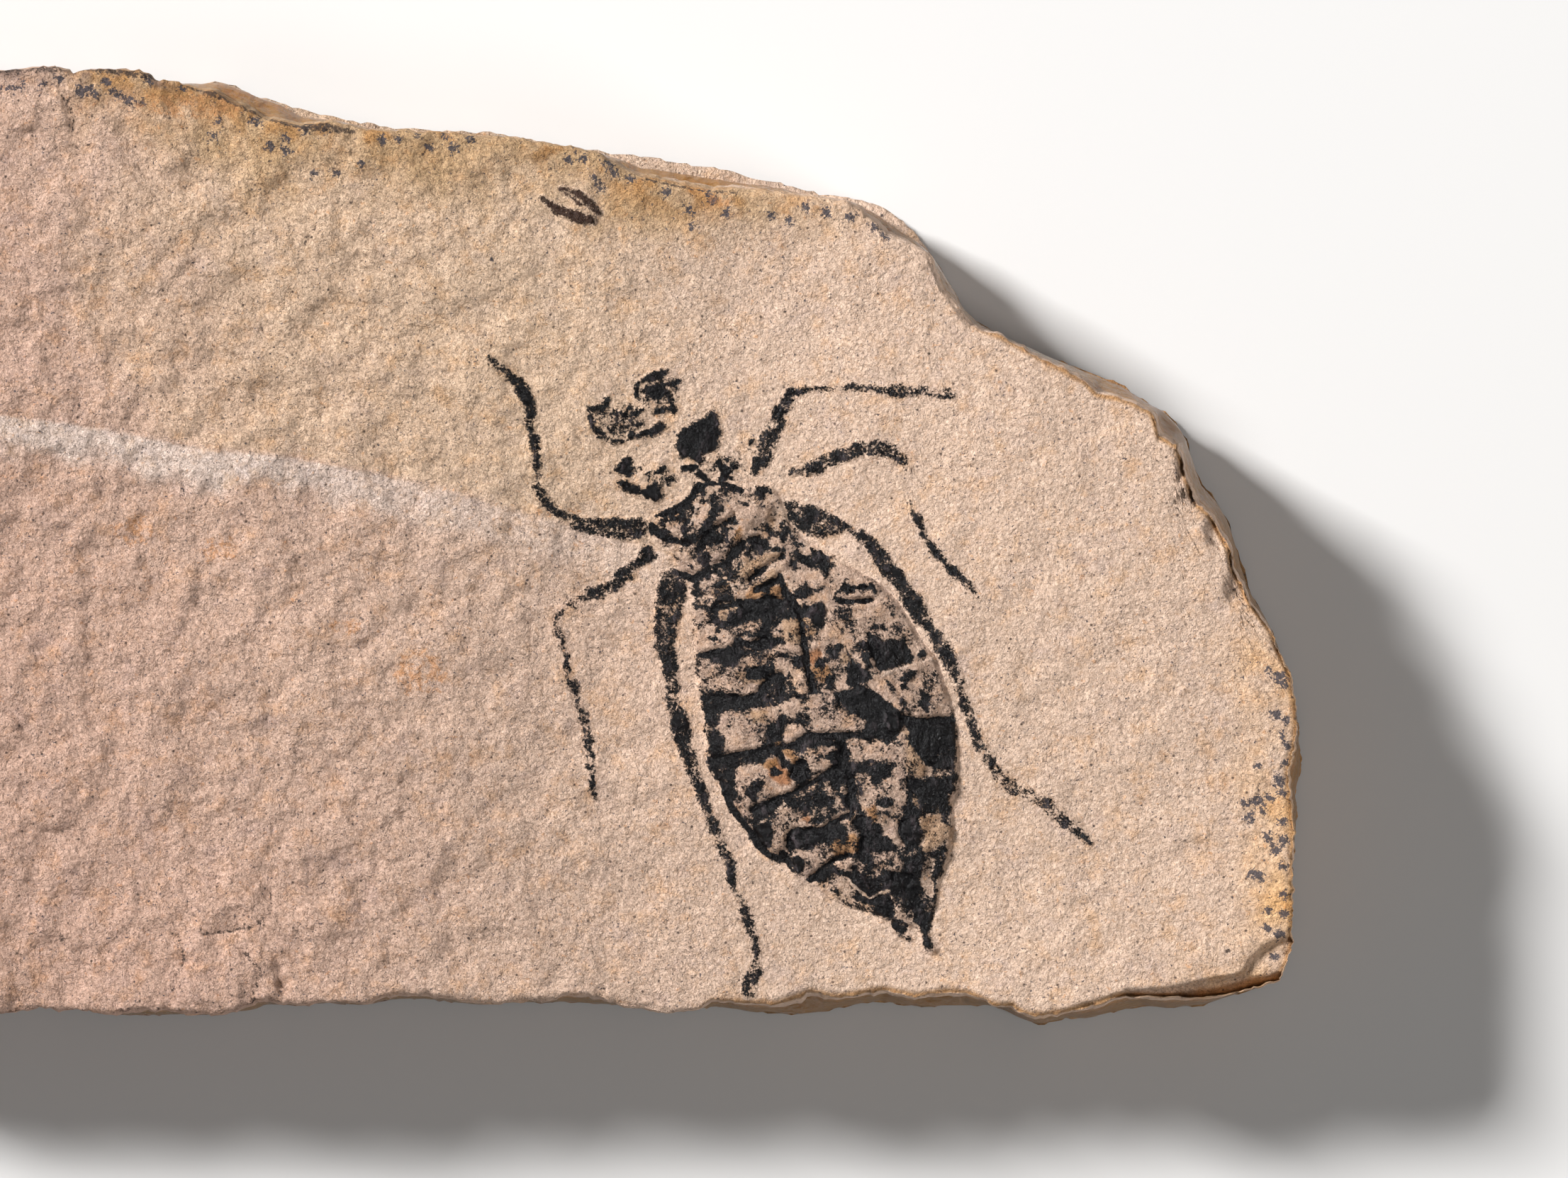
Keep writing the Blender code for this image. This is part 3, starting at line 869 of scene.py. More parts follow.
bed_rings = [bed_ring(down, push, 56 + 2 * row) for row, (down, push) in enumerate(BED_EDGE)]
points, faces = shell(bed_net, bed_height, bed_rings)
underside = len(points) + np.arange(under_height.size).reshape(under_height.shape)
points = np.concatenate([points, in_metres(x, y, under_height).reshape(-1, 3)])
last_ring = faces.pop()[0][::-1]
faces.append(wall_faces(last_ring, underside.reshape(-1)[bed_rim]))
faces.append(net_faces(*under_height.shape)[:, ::-1] + underside[0, 0])
depth, x, y = side_places(points, BACKING_TOP, bed_rim_distance.size)
from_rim = 0.2 * depth + 2.5 * hills(*in_pixels(points).T, 30, 66, 2)
from_rim[:bed_rim_distance.size] = np.maximum(bed_rim_distance - 30, 0).ravel()
from_rim[underside[0, 0]:] = OUT_OF_WEATHER
marks = stone_marks(x, y, from_rim, 0.0, 0.0)
build("stone_backing_bed", "backing_plate", points, faces, limestone, marks)

# %% [markdown]
# ## Resin
# The resin is a closed ring-shaped section carried around the rim. It starts hidden between the beds,
# climbs the broken edge of the fossil bed like a liquid on a wall, and runs down to the silhouette of the
# lower bed. Its colour comes from absorption inside, so thick places are deep brown and thin ones honey
# yellow.

# %% Clear brown resin
resin = Finish("resin")
resin.set(Base_Color=(0.92, 0.50, 0.15, 1), Roughness=0.12, IOR=1.52, Transmission_Weight=0.8)
absorption = resin.node("VolumeAbsorption", {"Color": (0.90, 0.64, 0.18, 1), "Density": 2400.0})
resin.tree.links.new(absorption.socket, resin.tree.nodes["Material Output"].inputs["Volume"])
resin.set(Normal=resin.bump(resin.noise(0.35 * MM, 4, 0.6), 0.14 * MM))
print("resin finish ready")

# %% Resin layer
HIDDEN = 30
# Each row of the section: share of the ledge, push outwards in pixels, level and share of the climb in mm
RESIN_ROWS = [
    (0.0, -HIDDEN, 3.95, 0.0), (0.18, -1.5, 3.9, 1.0), (0.34, 0.0, 3.88, 0.62), (0.52, 0.0, 3.84, 0.3),
    (0.74, 0.0, 3.76, 0.08), (0.93, 0.0, 3.6, 0.0), (1.0, -1.0, 3.35, 0.0), (0.98, -2.0, 3.04, 0.0),
    (0.0, -HIDDEN, 3.04, 0.0),
]
x, y = rim_place[:, 0], rim_place[:, 1]
ledge_width = np.hypot(*band.T)
top_ledge = soft(x, 380, 430) * (1 - soft(x, 1290, 1330)) * (1 - soft(y, 400, 440))
reach = 1 - 0.42 * top_ledge + 0.06 * hills(x, y, 40, 71, 2)
climb = 0.55 + 0.35 * hills(x, y, 46, 72, 3) + 0.35 * soft(x, 1300, 1700)
climb = climb * (1 - 0.5 * top_ledge) * soft(ledge_width, 2, 9)
resin_points = []
for share, push, level, lift in RESIN_ROWS:
    far = np.where(share > 0.2, reach, 1.0) * share
    inset = push - 3.0 * (1 - soft(ledge_width, 0, 5)) * (share > 0)
    if 0.3 < share < 0.97:
        inset = inset + 1.2 * hills(x, y, 30, 73, 2) * soft(ledge_width, 4, 12)
    place = rim_place + band * far[:, None] + outward * inset[:, None]
    resin_points.append(np.column_stack([place, (level + lift * climb) * MM]))
number = np.arange(len(RESIN_ROWS) * len(rim_place)).reshape(len(RESIN_ROWS), -1)
faces = [wall_faces(upper, lower) for upper, lower in zip(number[:-1], number[1:])]
faces += [number[0][None], number[-1][::-1][None]]
points = in_metres(*np.concatenate(resin_points).T)
build("resin_between_beds", "resin_layer", points, faces, resin)

# %% [markdown]
# ## Films
# The nymph is a black film that lies on the split face. Each film copies the stone's own net, only finer,
# so that it follows the stone exactly at a few hundredths of a millimetre. Outside its outline it dips
# below the stone, so the edge that shows is where the two surfaces cross. Inside, a number called cover
# says how sure the black is: the shader compares it with fine noise, which leaves ragged windows and
# speckles of bare stone.

# %% A closer look at the stone's net
FAR = -9.0


def refined(values, times):
    """A net made `times` finer. Every new point lies on the two triangles of its old cell."""
    rows, columns = values.shape[:2]
    row, column = np.indices(((rows - 1) * times + 1, (columns - 1) * times + 1))
    j = np.minimum(row // times, rows - 2)
    i = np.minimum(column // times, columns - 2)
    t = row / times - j
    s = column / times - i
    if values.ndim == 3:
        s, t = s[..., None], t[..., None]
    a, b, c, d = values[j, i], values[j, i + 1], values[j + 1, i + 1], values[j + 1, i]
    return np.where(s >= t, a + s * (b - a) + t * (c - b), a + t * (d - a) + s * (c - d))


def close_up(left, top, right, foot, times):
    """The part of the stone's net around a window in pixels, refined, with its height."""
    near = (net[..., 0] > left) & (net[..., 0] < right) & (net[..., 1] > top) & (net[..., 1] < foot)
    rows = np.flatnonzero(near.any(1))
    columns = np.flatnonzero(near.any(0))
    block = slice(max(rows[0] - 1, 0), rows[-1] + 2), slice(columns[0] - 1, columns[-1] + 2)
    return refined(net[block], times), refined(face_height[block], times)


def drawn(x, y, shape):
    """Signed distance from a closed outline, or from a strip if its stops have widths, never below FAR."""
    corners = np.array(shape, float)
    margin = (corners[:, 2].max() if corners.shape[1] == 3 else 0) - FAR
    low = corners[:, :2].min(0) - margin
    high = corners[:, :2].max(0) + margin
    near = (x > low[0]) & (x < high[0]) & (y > low[1]) & (y < high[1])
    field = np.full(x.shape, FAR)
    find = along_route if corners.shape[1] == 3 else inside
    field[near] = find(x[near], y[near], shape)
    return np.maximum(field, FAR)


def drawn_all(x, y, shapes):
    """Signed distance from the union of several outlines and strips: the greatest of their own."""
    return np.maximum.reduce([drawn(x, y, shape) for shape in shapes])


print("seen closer, a net of 3 by 3 points has", *refined(np.zeros((3, 3)), 4).shape)

# %% A film from a field of signed distances
KEPT_FROM = -2.2  # pixels
BARE_THICKNESS = 0.008  # this and the next two in millimetres
DIP = 0.04
SOLE_DEPTH = 0.15


def kept_cells(field):
    """The cells of a net that a film covers: those near its field, and none that touch at a corner only."""
    kept = np.logical_or.reduce(cells(field > KEPT_FROM))
    kept[[0, -1]] = False
    kept[:, [0, -1]] = False
    corner_touch = True
    while corner_touch:
        a, b, c, d = cells(kept)
        touch = (a & c & ~b & ~d) | (b & d & ~a & ~c)
        corner_touch = bool(touch.any())
        for neighbour in (a, b, c, d):
            neighbour |= touch
    return kept


def film_faces(kept, index):
    """Triangles of the kept cells, and the edges where a kept cell lies beside one that isn't kept."""
    a, b, c, d = cells(index)
    lid = np.concatenate([np.stack([a, d, c], -1)[kept], np.stack([a, c, b], -1)[kept]])
    beside = np.pad(kept, 1)
    open_sides = [(a, d, beside[1:-1, :-2]), (d, c, beside[2:, 1:-1]), (c, b, beside[1:-1, 2:]),
                  (b, a, beside[:-2, 1:-1])]
    edges = [np.stack([start, end], -1)[kept & ~neighbour] for start, end, neighbour in open_sides]
    return lid, np.concatenate(edges)


def film(name, node, place, base, field, finish, marks, thickness):
    """A film over the stone where a field of signed distances is positive, and just below it elsewhere.

    It is thickest where cover is high and almost nothing where the stone is bare. Its sole lies in stone.
    """
    thick = BARE_THICKNESS + (thickness - BARE_THICKNESS) * soft(marks["cover"], -4, 5)
    dip = DIP * np.clip(field / 2, -1, 0)
    top = base + MM * np.where(field > 0, thick * np.clip(field / 3, 0, 1), dip)
    count = field.size
    lid, edges = film_faces(kept_cells(field), np.arange(count).reshape(field.shape))
    walls = np.stack([edges[:, 1], edges[:, 0], edges[:, 0] + count, edges[:, 1] + count], -1)
    used = np.unique(np.concatenate([lid.ravel(), lid.ravel() + count]))
    renumber = np.zeros(2 * count, int)
    renumber[used] = np.arange(len(used))
    both = np.concatenate([in_metres(place[..., 0], place[..., 1], level).reshape(-1, 3)
                           for level in (top, base - SOLE_DEPTH * MM)])
    faces = [renumber[lid], renumber[lid[:, ::-1] + count], renumber[walls]]
    chosen = {}
    for mark, values in marks.items():
        flat = values.reshape(count, -1)
        flat = np.concatenate([flat, flat])[used]
        chosen[mark] = np.column_stack([flat, np.ones(len(flat))]) if flat.shape[1] == 3 else flat[:, 0]
    build(name, node, both[used], faces, finish, chosen)


print("films reach", -KEPT_FROM, "pixels past their fields, under the stone")

# %% [markdown]
# ## Film finish
# One finish serves all films. Where cover beats the noise it is black and a little glossy, and elsewhere it
# shows the stone's colour as painted on the film. Its bumps are the stone's bumps with wrinkles of its own.
# Streaks in the black carry a painted sheen: a grey colour that stands for gloss.

# %% Black cuticle


def film_finish(name, dark, painted_sheen_colour):
    """Film with a dark colour and painted sheen for its streaks, over stone that the mesh paints as 'tint'.
    """
    finish = Finish(name)
    speckle = finish.noise(0.09 * MM, 5, 0.8) - 0.5
    blotch = finish.noise(0.34 * MM, 4, 0.65) - 0.5
    black = (finish.painted("cover") + speckle * 30.0 + blotch * 13.0).ramp(-0.8, 0.8)
    bare = stone_colour(finish, finish.painted("tint", "Color"))
    gloss = finish.painted("gloss")
    wrinkles = finish.noise(0.30 * MM, 5, 0.62, ((0, 0, 0.5), (1.0, 0.45, 1.0)))
    painted_sheen_streaks = wrinkles.ramp(0.52, 0.70)
    # The streaks lift the black towards the painted sheen colour, by the painted sheen share on the mesh.
    colour = finish.mix(black, bare, finish.mix(painted_sheen_streaks * finish.painted("painted_sheen_share"), dark, painted_sheen_colour))
    roughness = 0.92 - black * (0.60 + gloss * 0.10)
    bumps = finish.bump(black, 0.02 * MM, stone_bumps(finish, black * 0.8))
    bumps = finish.bump(wrinkles * black, 0.17 * MM, bumps)
    return finish.set(Base_Color=colour, Roughness=roughness, Specular_IOR_Level=0.22, Normal=bumps)


# The second colour of each finish is painted sheen: grey streaks that stand for gloss.
cuticle = film_finish("cuticle_film", (0.002, 0.0015, 0.002, 1), (0.075, 0.058, 0.062, 1))
shell_crust = film_finish("shell_crust", (0.045, 0.022, 0.014, 1), (0.16, 0.09, 0.06, 1))
print("film finishes ready")

# %% [markdown]
# ## Legs
# A leg is a route with a half width at every stop. Where the half width drops below zero the leg is
# interrupted. The cuticle of the legs is thin, so speckles of stone show everywhere in it.

# %% Routes of the legs
LEGS = {
    "left_front_leg": [
        (693, 506, 6), (706, 519, 5), (718, 527, 5), (735, 545, 8), (746, 570, 8), (748, 588, 6),
        (749, 600, 4), (749, 612, 3), (755, 622, 6), (756, 640, 6.5), (757, 657, 5), (757, 661, 1),
        (757, 667, 5), (757, 685, 6.5), (765, 703, 6), (775, 713, 5), (786, 722, 2.5), (797, 728, 4),
        (812, 739, 8), (832, 742, 10), (855, 744, 12), (880, 747, 15), (898, 747, 15), (905, 746, 11),
    ],
    "left_middle_leg": [
        (913, 782, 11), (900, 792, 6), (888, 802, 6), (874, 814, 9), (862, 828, 7), (848, 836, 8),
        (830, 838, 7), (816, 846, 5), (802, 852, 4), (790, 866, 4), (781, 878, 4.5), (788, 892, 6),
        (791, 905, 4), (794, 918, 3), (799, 930, 5), (800, 945, 6), (804, 960, 5), (810, 972, 6),
        (814, 985, 6), (815, 997, 3.5), (823, 1010, 8), (828, 1030, 6.5), (830, 1050, 6), (833, 1070, 7.5),
        (835, 1090, 5.5), (836, 1108, 5), (837, 1124, 4),
    ],
    "left_hind_leg": [
        (949, 822, 18), (947, 840, 19), (944, 855, 18), (942, 870, 15.5), (939, 885, 15), (937, 900, 14),
        (938, 912, 13), (941, 925, 12), (946, 940, 10), (948, 955, 7), (949, 970, 8.5), (947, 985, 9),
        (952, 998, 9), (957, 1010, 10.5), (960, 1025, 13), (963, 1038, 12), (966, 1052, 9),
        (975, 1070, 9.5), (977, 1085, 8), (980, 1100, 7), (990, 1120, 6), (996, 1140, 6.5), (1003, 1155, 6),
        (1011, 1175, 6), (1016, 1190, 6), (1024, 1205, 6), (1031, 1220, 6), (1033, 1240, 6),
        (1037, 1255, 4), (1043, 1265, 3), (1049, 1280, 5.5), (1053, 1295, 6), (1057, 1310, 6),
        (1063, 1325, 5.5), (1067, 1345, 3.5), (1066, 1358, 5), (1064, 1372, 10), (1058, 1388, 9),
        (1055, 1400, 7),
    ],
    "right_front_leg": [
        (1064, 662, 7), (1073, 650, 12), (1080, 632, 12), (1087, 614, 10), (1094, 598, 11), (1099, 585, 9),
        (1107, 573, 8), (1112, 561, 8), (1113, 552, 5), (1128, 553, 6), (1145, 548, 3.5), (1160, 548, 3),
        (1172, 548, 4), (1185, 547, 3), (1200, 546, 4), (1213, 547, 1.5), (1225, 547, 3), (1236, 550, 2),
        (1247, 552, 5), (1262, 552, 8), (1275, 551, 8.5), (1290, 551, 6), (1302, 550, 4), (1318, 551, 3.5),
        (1336, 550, 2),
    ],
    "right_middle_leg": [
        (1117, 665, 5), (1125, 664, 3), (1140, 661, 8), (1155, 658, 9), (1167, 652, 8), (1182, 646, 8),
        (1198, 640, 9), (1213, 633, 9), (1228, 633, 10), (1245, 634, 10), (1260, 638, 10), (1269, 645, 8),
        (1276, 655, 6.5), (1280, 663, 3), (1283, 675, -6), (1284, 700, -5), (1284, 711, 3), (1288, 722, 0),
        (1293, 731, 5), (1300, 745, 1), (1307, 763, 5.5), (1316, 776, 3.5), (1326, 786, 4), (1334, 796, 4),
        (1345, 806, 6), (1356, 816, 4), (1365, 825, 6), (1374, 835, 2), (1380, 843, 2),
    ],
    "right_hind_leg": [
        (1114, 714, 8), (1128, 730, 16), (1145, 734, 18), (1162, 740, 17), (1178, 743, 11), (1190, 742, 4),
        (1201, 750, 3), (1212, 755, 6), (1222, 762, 5), (1232, 770, 8), (1243, 788, 13), (1253, 803, 9),
        (1262, 812, 9), (1272, 826, 10), (1285, 846, 12), (1300, 870, 11), (1311, 886, 4), (1322, 899, 8),
        (1331, 915, 10), (1341, 938, 10), (1352, 960, 6), (1357, 980, 5.5), (1364, 1000, 6.5),
        (1372, 1020, 6.5), (1379, 1040, 6.5), (1387, 1060, 7.5), (1400, 1080, 7.5), (1411, 1100, 9),
        (1430, 1113, 9), (1452, 1122, 8), (1468, 1130, 8.5), (1488, 1147, 9), (1503, 1160, 9),
        (1520, 1172, 8), (1530, 1182, 5), (1537, 1190, 2.5),
    ],
}
LEG_EXTRAS = {
    "left_middle_leg": [
        [(905, 780, 2), (890, 812, 3), (870, 826, 3)], [(812, 856, 2), (800, 850, 3), (783, 872, 3)],
    ],
    "right_front_leg": [
        [(1300, 552, 2), (1322, 560, 3), (1344, 560, 3)],
        [(1064, 640, 1.5), (1056, 632, 2), (1060, 622, 1.5)],
    ],
    "right_middle_leg": [[(1222, 632, 3), (1200, 634, 4), (1180, 640, 2)]],
}


print(sum(len(route) for route in LEGS.values()), "stops along six legs")

# %% Legs
MARGIN = 24  # pixels of stone that are looked at around a film
BODY_MIDDLE = (1100, 880)
LEG_THICKNESS = 0.045  # millimetres


def film_marks(x, y, cover, gloss):
    """What the shader needs at each point of a film."""
    # A painted sheen share that wanders at random over the film.
    painted_sheen_share = 0.5 + 0.35 * hills(x, y, 20, 110, 2)
    tint = stone_tint(x, y, np.full(x.shape, OUT_OF_WEATHER))
    return {"cover": cover, "gloss": gloss, "painted_sheen_share": painted_sheen_share, "tint": tint, "rough": broken(x, y)}


# How much each leg's film wears off, far from the middle of the body
FADING = {
    "left_front_leg": 0.4,
    "left_middle_leg": 2.8,
    "left_hind_leg": 0.8,
    "right_front_leg": 1.6,
    "right_middle_leg": 2.8,
    "right_hind_leg": 2.2,
}
for seed, (leg, route) in enumerate(LEGS.items()):
    stops = np.array(route)[:, :2]
    place, base = close_up(*(stops.min(0) - MARGIN), *(stops.max(0) + MARGIN), 3)
    x, y = place[..., 0], place[..., 1]
    field = drawn_all(x, y, [route] + LEG_EXTRAS.get(leg, []))
    cover = 0.9 * np.clip(field, -7, 2.6) + 0.4 + 2.3 * hills(x, y, 15, 120 + seed, 4, 0.72)
    far_off = np.hypot(x - BODY_MIDDLE[0], y - BODY_MIDDLE[1])
    cover = cover - FADING[leg] * soft(far_off, 180, 400)
    gloss = soft(hills(x, y, 34, 130 + seed), -0.2, 0.6)
    marks = film_marks(x, y, cover, gloss)
    film(leg + "_film", leg, place, base, field + 5, cuticle, marks, LEG_THICKNESS)

# %% [markdown]
# ## Head
# The eyes, the head plate and the mask's two blades are separate scraps of film. Each is a few outlines or
# strips.

# %% Outlines of head, eyes and mask
HEAD_PARTS = {
    "head_plate": [
        [(957, 638), (953, 628), (957, 615), (962, 605), (975, 600), (985, 597), (992, 590), (1000, 583),
            (1008, 580), (1013, 590), (1015, 600), (1017, 612), (1010, 620), (1014, 628), (1008, 636),
            (998, 640), (990, 643), (993, 652), (988, 655), (980, 648), (970, 645), (960, 648)],
        [(966, 661, 4), (984, 659, 3)], [(988, 668, 5), (998, 678, 4)],
        [(1014, 653, 4), (1026, 664, 6), (1018, 678, 4)], [(1032, 657, 3), (1037, 658, 2)],
    ],
    "left_eye": [
        [(834, 577, 4), (843, 576, 4)], [(850, 578, 4), (858, 565, 4)], [(833, 587, 3), (835, 603, 3)],
        [(841, 606, 4), (850, 612, 4)], [(846, 617, 3), (856, 619, 3)], [(865, 622, 3), (880, 622, 3)],
        [(889, 616, 3), (892, 611, 3)], [(878, 588, 4), (888, 575, 5)], [(896, 585, 4), (905, 578, 5)],
        [(900, 601, 4), (905, 598, 3)], [(901, 614, 3), (911, 611, 4)],
    ],
    "right_eye": [
        [(921, 553, 9), (930, 553, 10)], [(948, 566, 6), (950, 580, 6)],
        [(917, 534, 5), (930, 529, 6), (940, 524, 3)], [(936, 543, 3), (952, 541, 3), (958, 536, 2)],
        [(906, 538, 3), (912, 534, 3)], [(900, 543, 2), (899, 558, 2)], [(908, 552, 3), (913, 547, 3)],
        [(926, 581, 4), (939, 577, 4)],
        [(913, 610), (920, 603), (930, 598), (940, 600), (935, 608), (925, 613), (918, 615)],
    ],
    "mask_leaf": [
        [(870, 662), (873, 655), (880, 648), (888, 642), (892, 648), (890, 658), (892, 668), (888, 672),
            (880, 668), (873, 667)],
        [(890, 662, 3), (903, 660, 1.5)],
    ],
    "mask_blade": [
        [(873, 680), (880, 678), (895, 685), (908, 690), (918, 683), (925, 680), (930, 690), (938, 700),
            (932, 705), (925, 707), (915, 702), (900, 700), (885, 692), (875, 685)],
        [(924, 668, 4), (936, 661, 5)], [(942, 682, 3), (947, 677, 3)],
    ],
}
SPECKLED = {
    "left_eye": (872, 594, 44, 34),
    "right_eye": (930, 556, 34, 34),
    "head_plate": (1024, 664, 46, 30),
    "mask_blade": (930, 674, 30, 24),
}
print("scraps of film:", *HEAD_PARTS)

# %% Head, eyes and mask
HEAD_THICKNESS = 0.05  # millimetres
for seed, (part, shapes) in enumerate(HEAD_PARTS.items()):
    stops = np.array([stop[:2] for shape in shapes for stop in shape])
    place, base = close_up(*(stops.min(0) - MARGIN), *(stops.max(0) + MARGIN), 4)
    x, y = place[..., 0], place[..., 1]
    field = drawn_all(x, y, shapes)
    cover = 1.1 * np.clip(field, -6, 4) + 0.9 + 2.4 * hills(x, y, 15, 160 + seed, 4, 0.7)
    cover = cover * (1 + soft(cover, 1, 4))
    if part in SPECKLED:
        dusty = blob(x, y, SPECKLED[part])
        cover = np.maximum(cover, -6 + 6.5 * dusty + 2.5 * hills(x, y, 12, 150 + seed, 3, 0.7))
        field = np.maximum(field, 12 * dusty - 6)
    gloss = soft(hills(x, y, 20, 170 + seed), 0, 0.6)
    if part == "head_plate":
        gloss = soft(x + y, 1590, 1650)
    marks = film_marks(x, y, cover, gloss)
    film(part + "_film", part, place, base, field + 5, cuticle, marks, HEAD_THICKNESS)

# %% [markdown]
# ## Body
# Thorax and abdomen are one film with many windows. The patches are drawn in order, each over the ones
# before it: bare windows from cream to rust, dark film, glossy film with more painted sheen, dust that is
# half bare, and deep black hollows whose black is painted shadow. Grooves part the segments and hold
# painted shadow, and thin rims carry a painted highlight.

# %% Kinds of patches
BARE = {
    "cream": (0.52, 0.365, 0.280), "tan": (0.45, 0.29, 0.18), "ochre": (0.38, 0.19, 0.075),
    "rust": (0.36, 0.15, 0.06),
}
# Deep patches are wholly black with no sheen: painted shadow in the hollows of the film.
COVERED = {"dust": -0.7, "dark": 4.2, "gloss": 7.0, "deep": 9.0}
# How much painted sheen a covered kind shows: most on glossy film, none in deep hollows.
PAINTED_SHEEN = {"gloss": 0.8, "deep": 0.0}
PLAIN_PAINTED_SHEEN = 0.55
GLINT = (0.68, 0.52, 0.42)
print("bare:", *BARE, "and covered:", *COVERED)

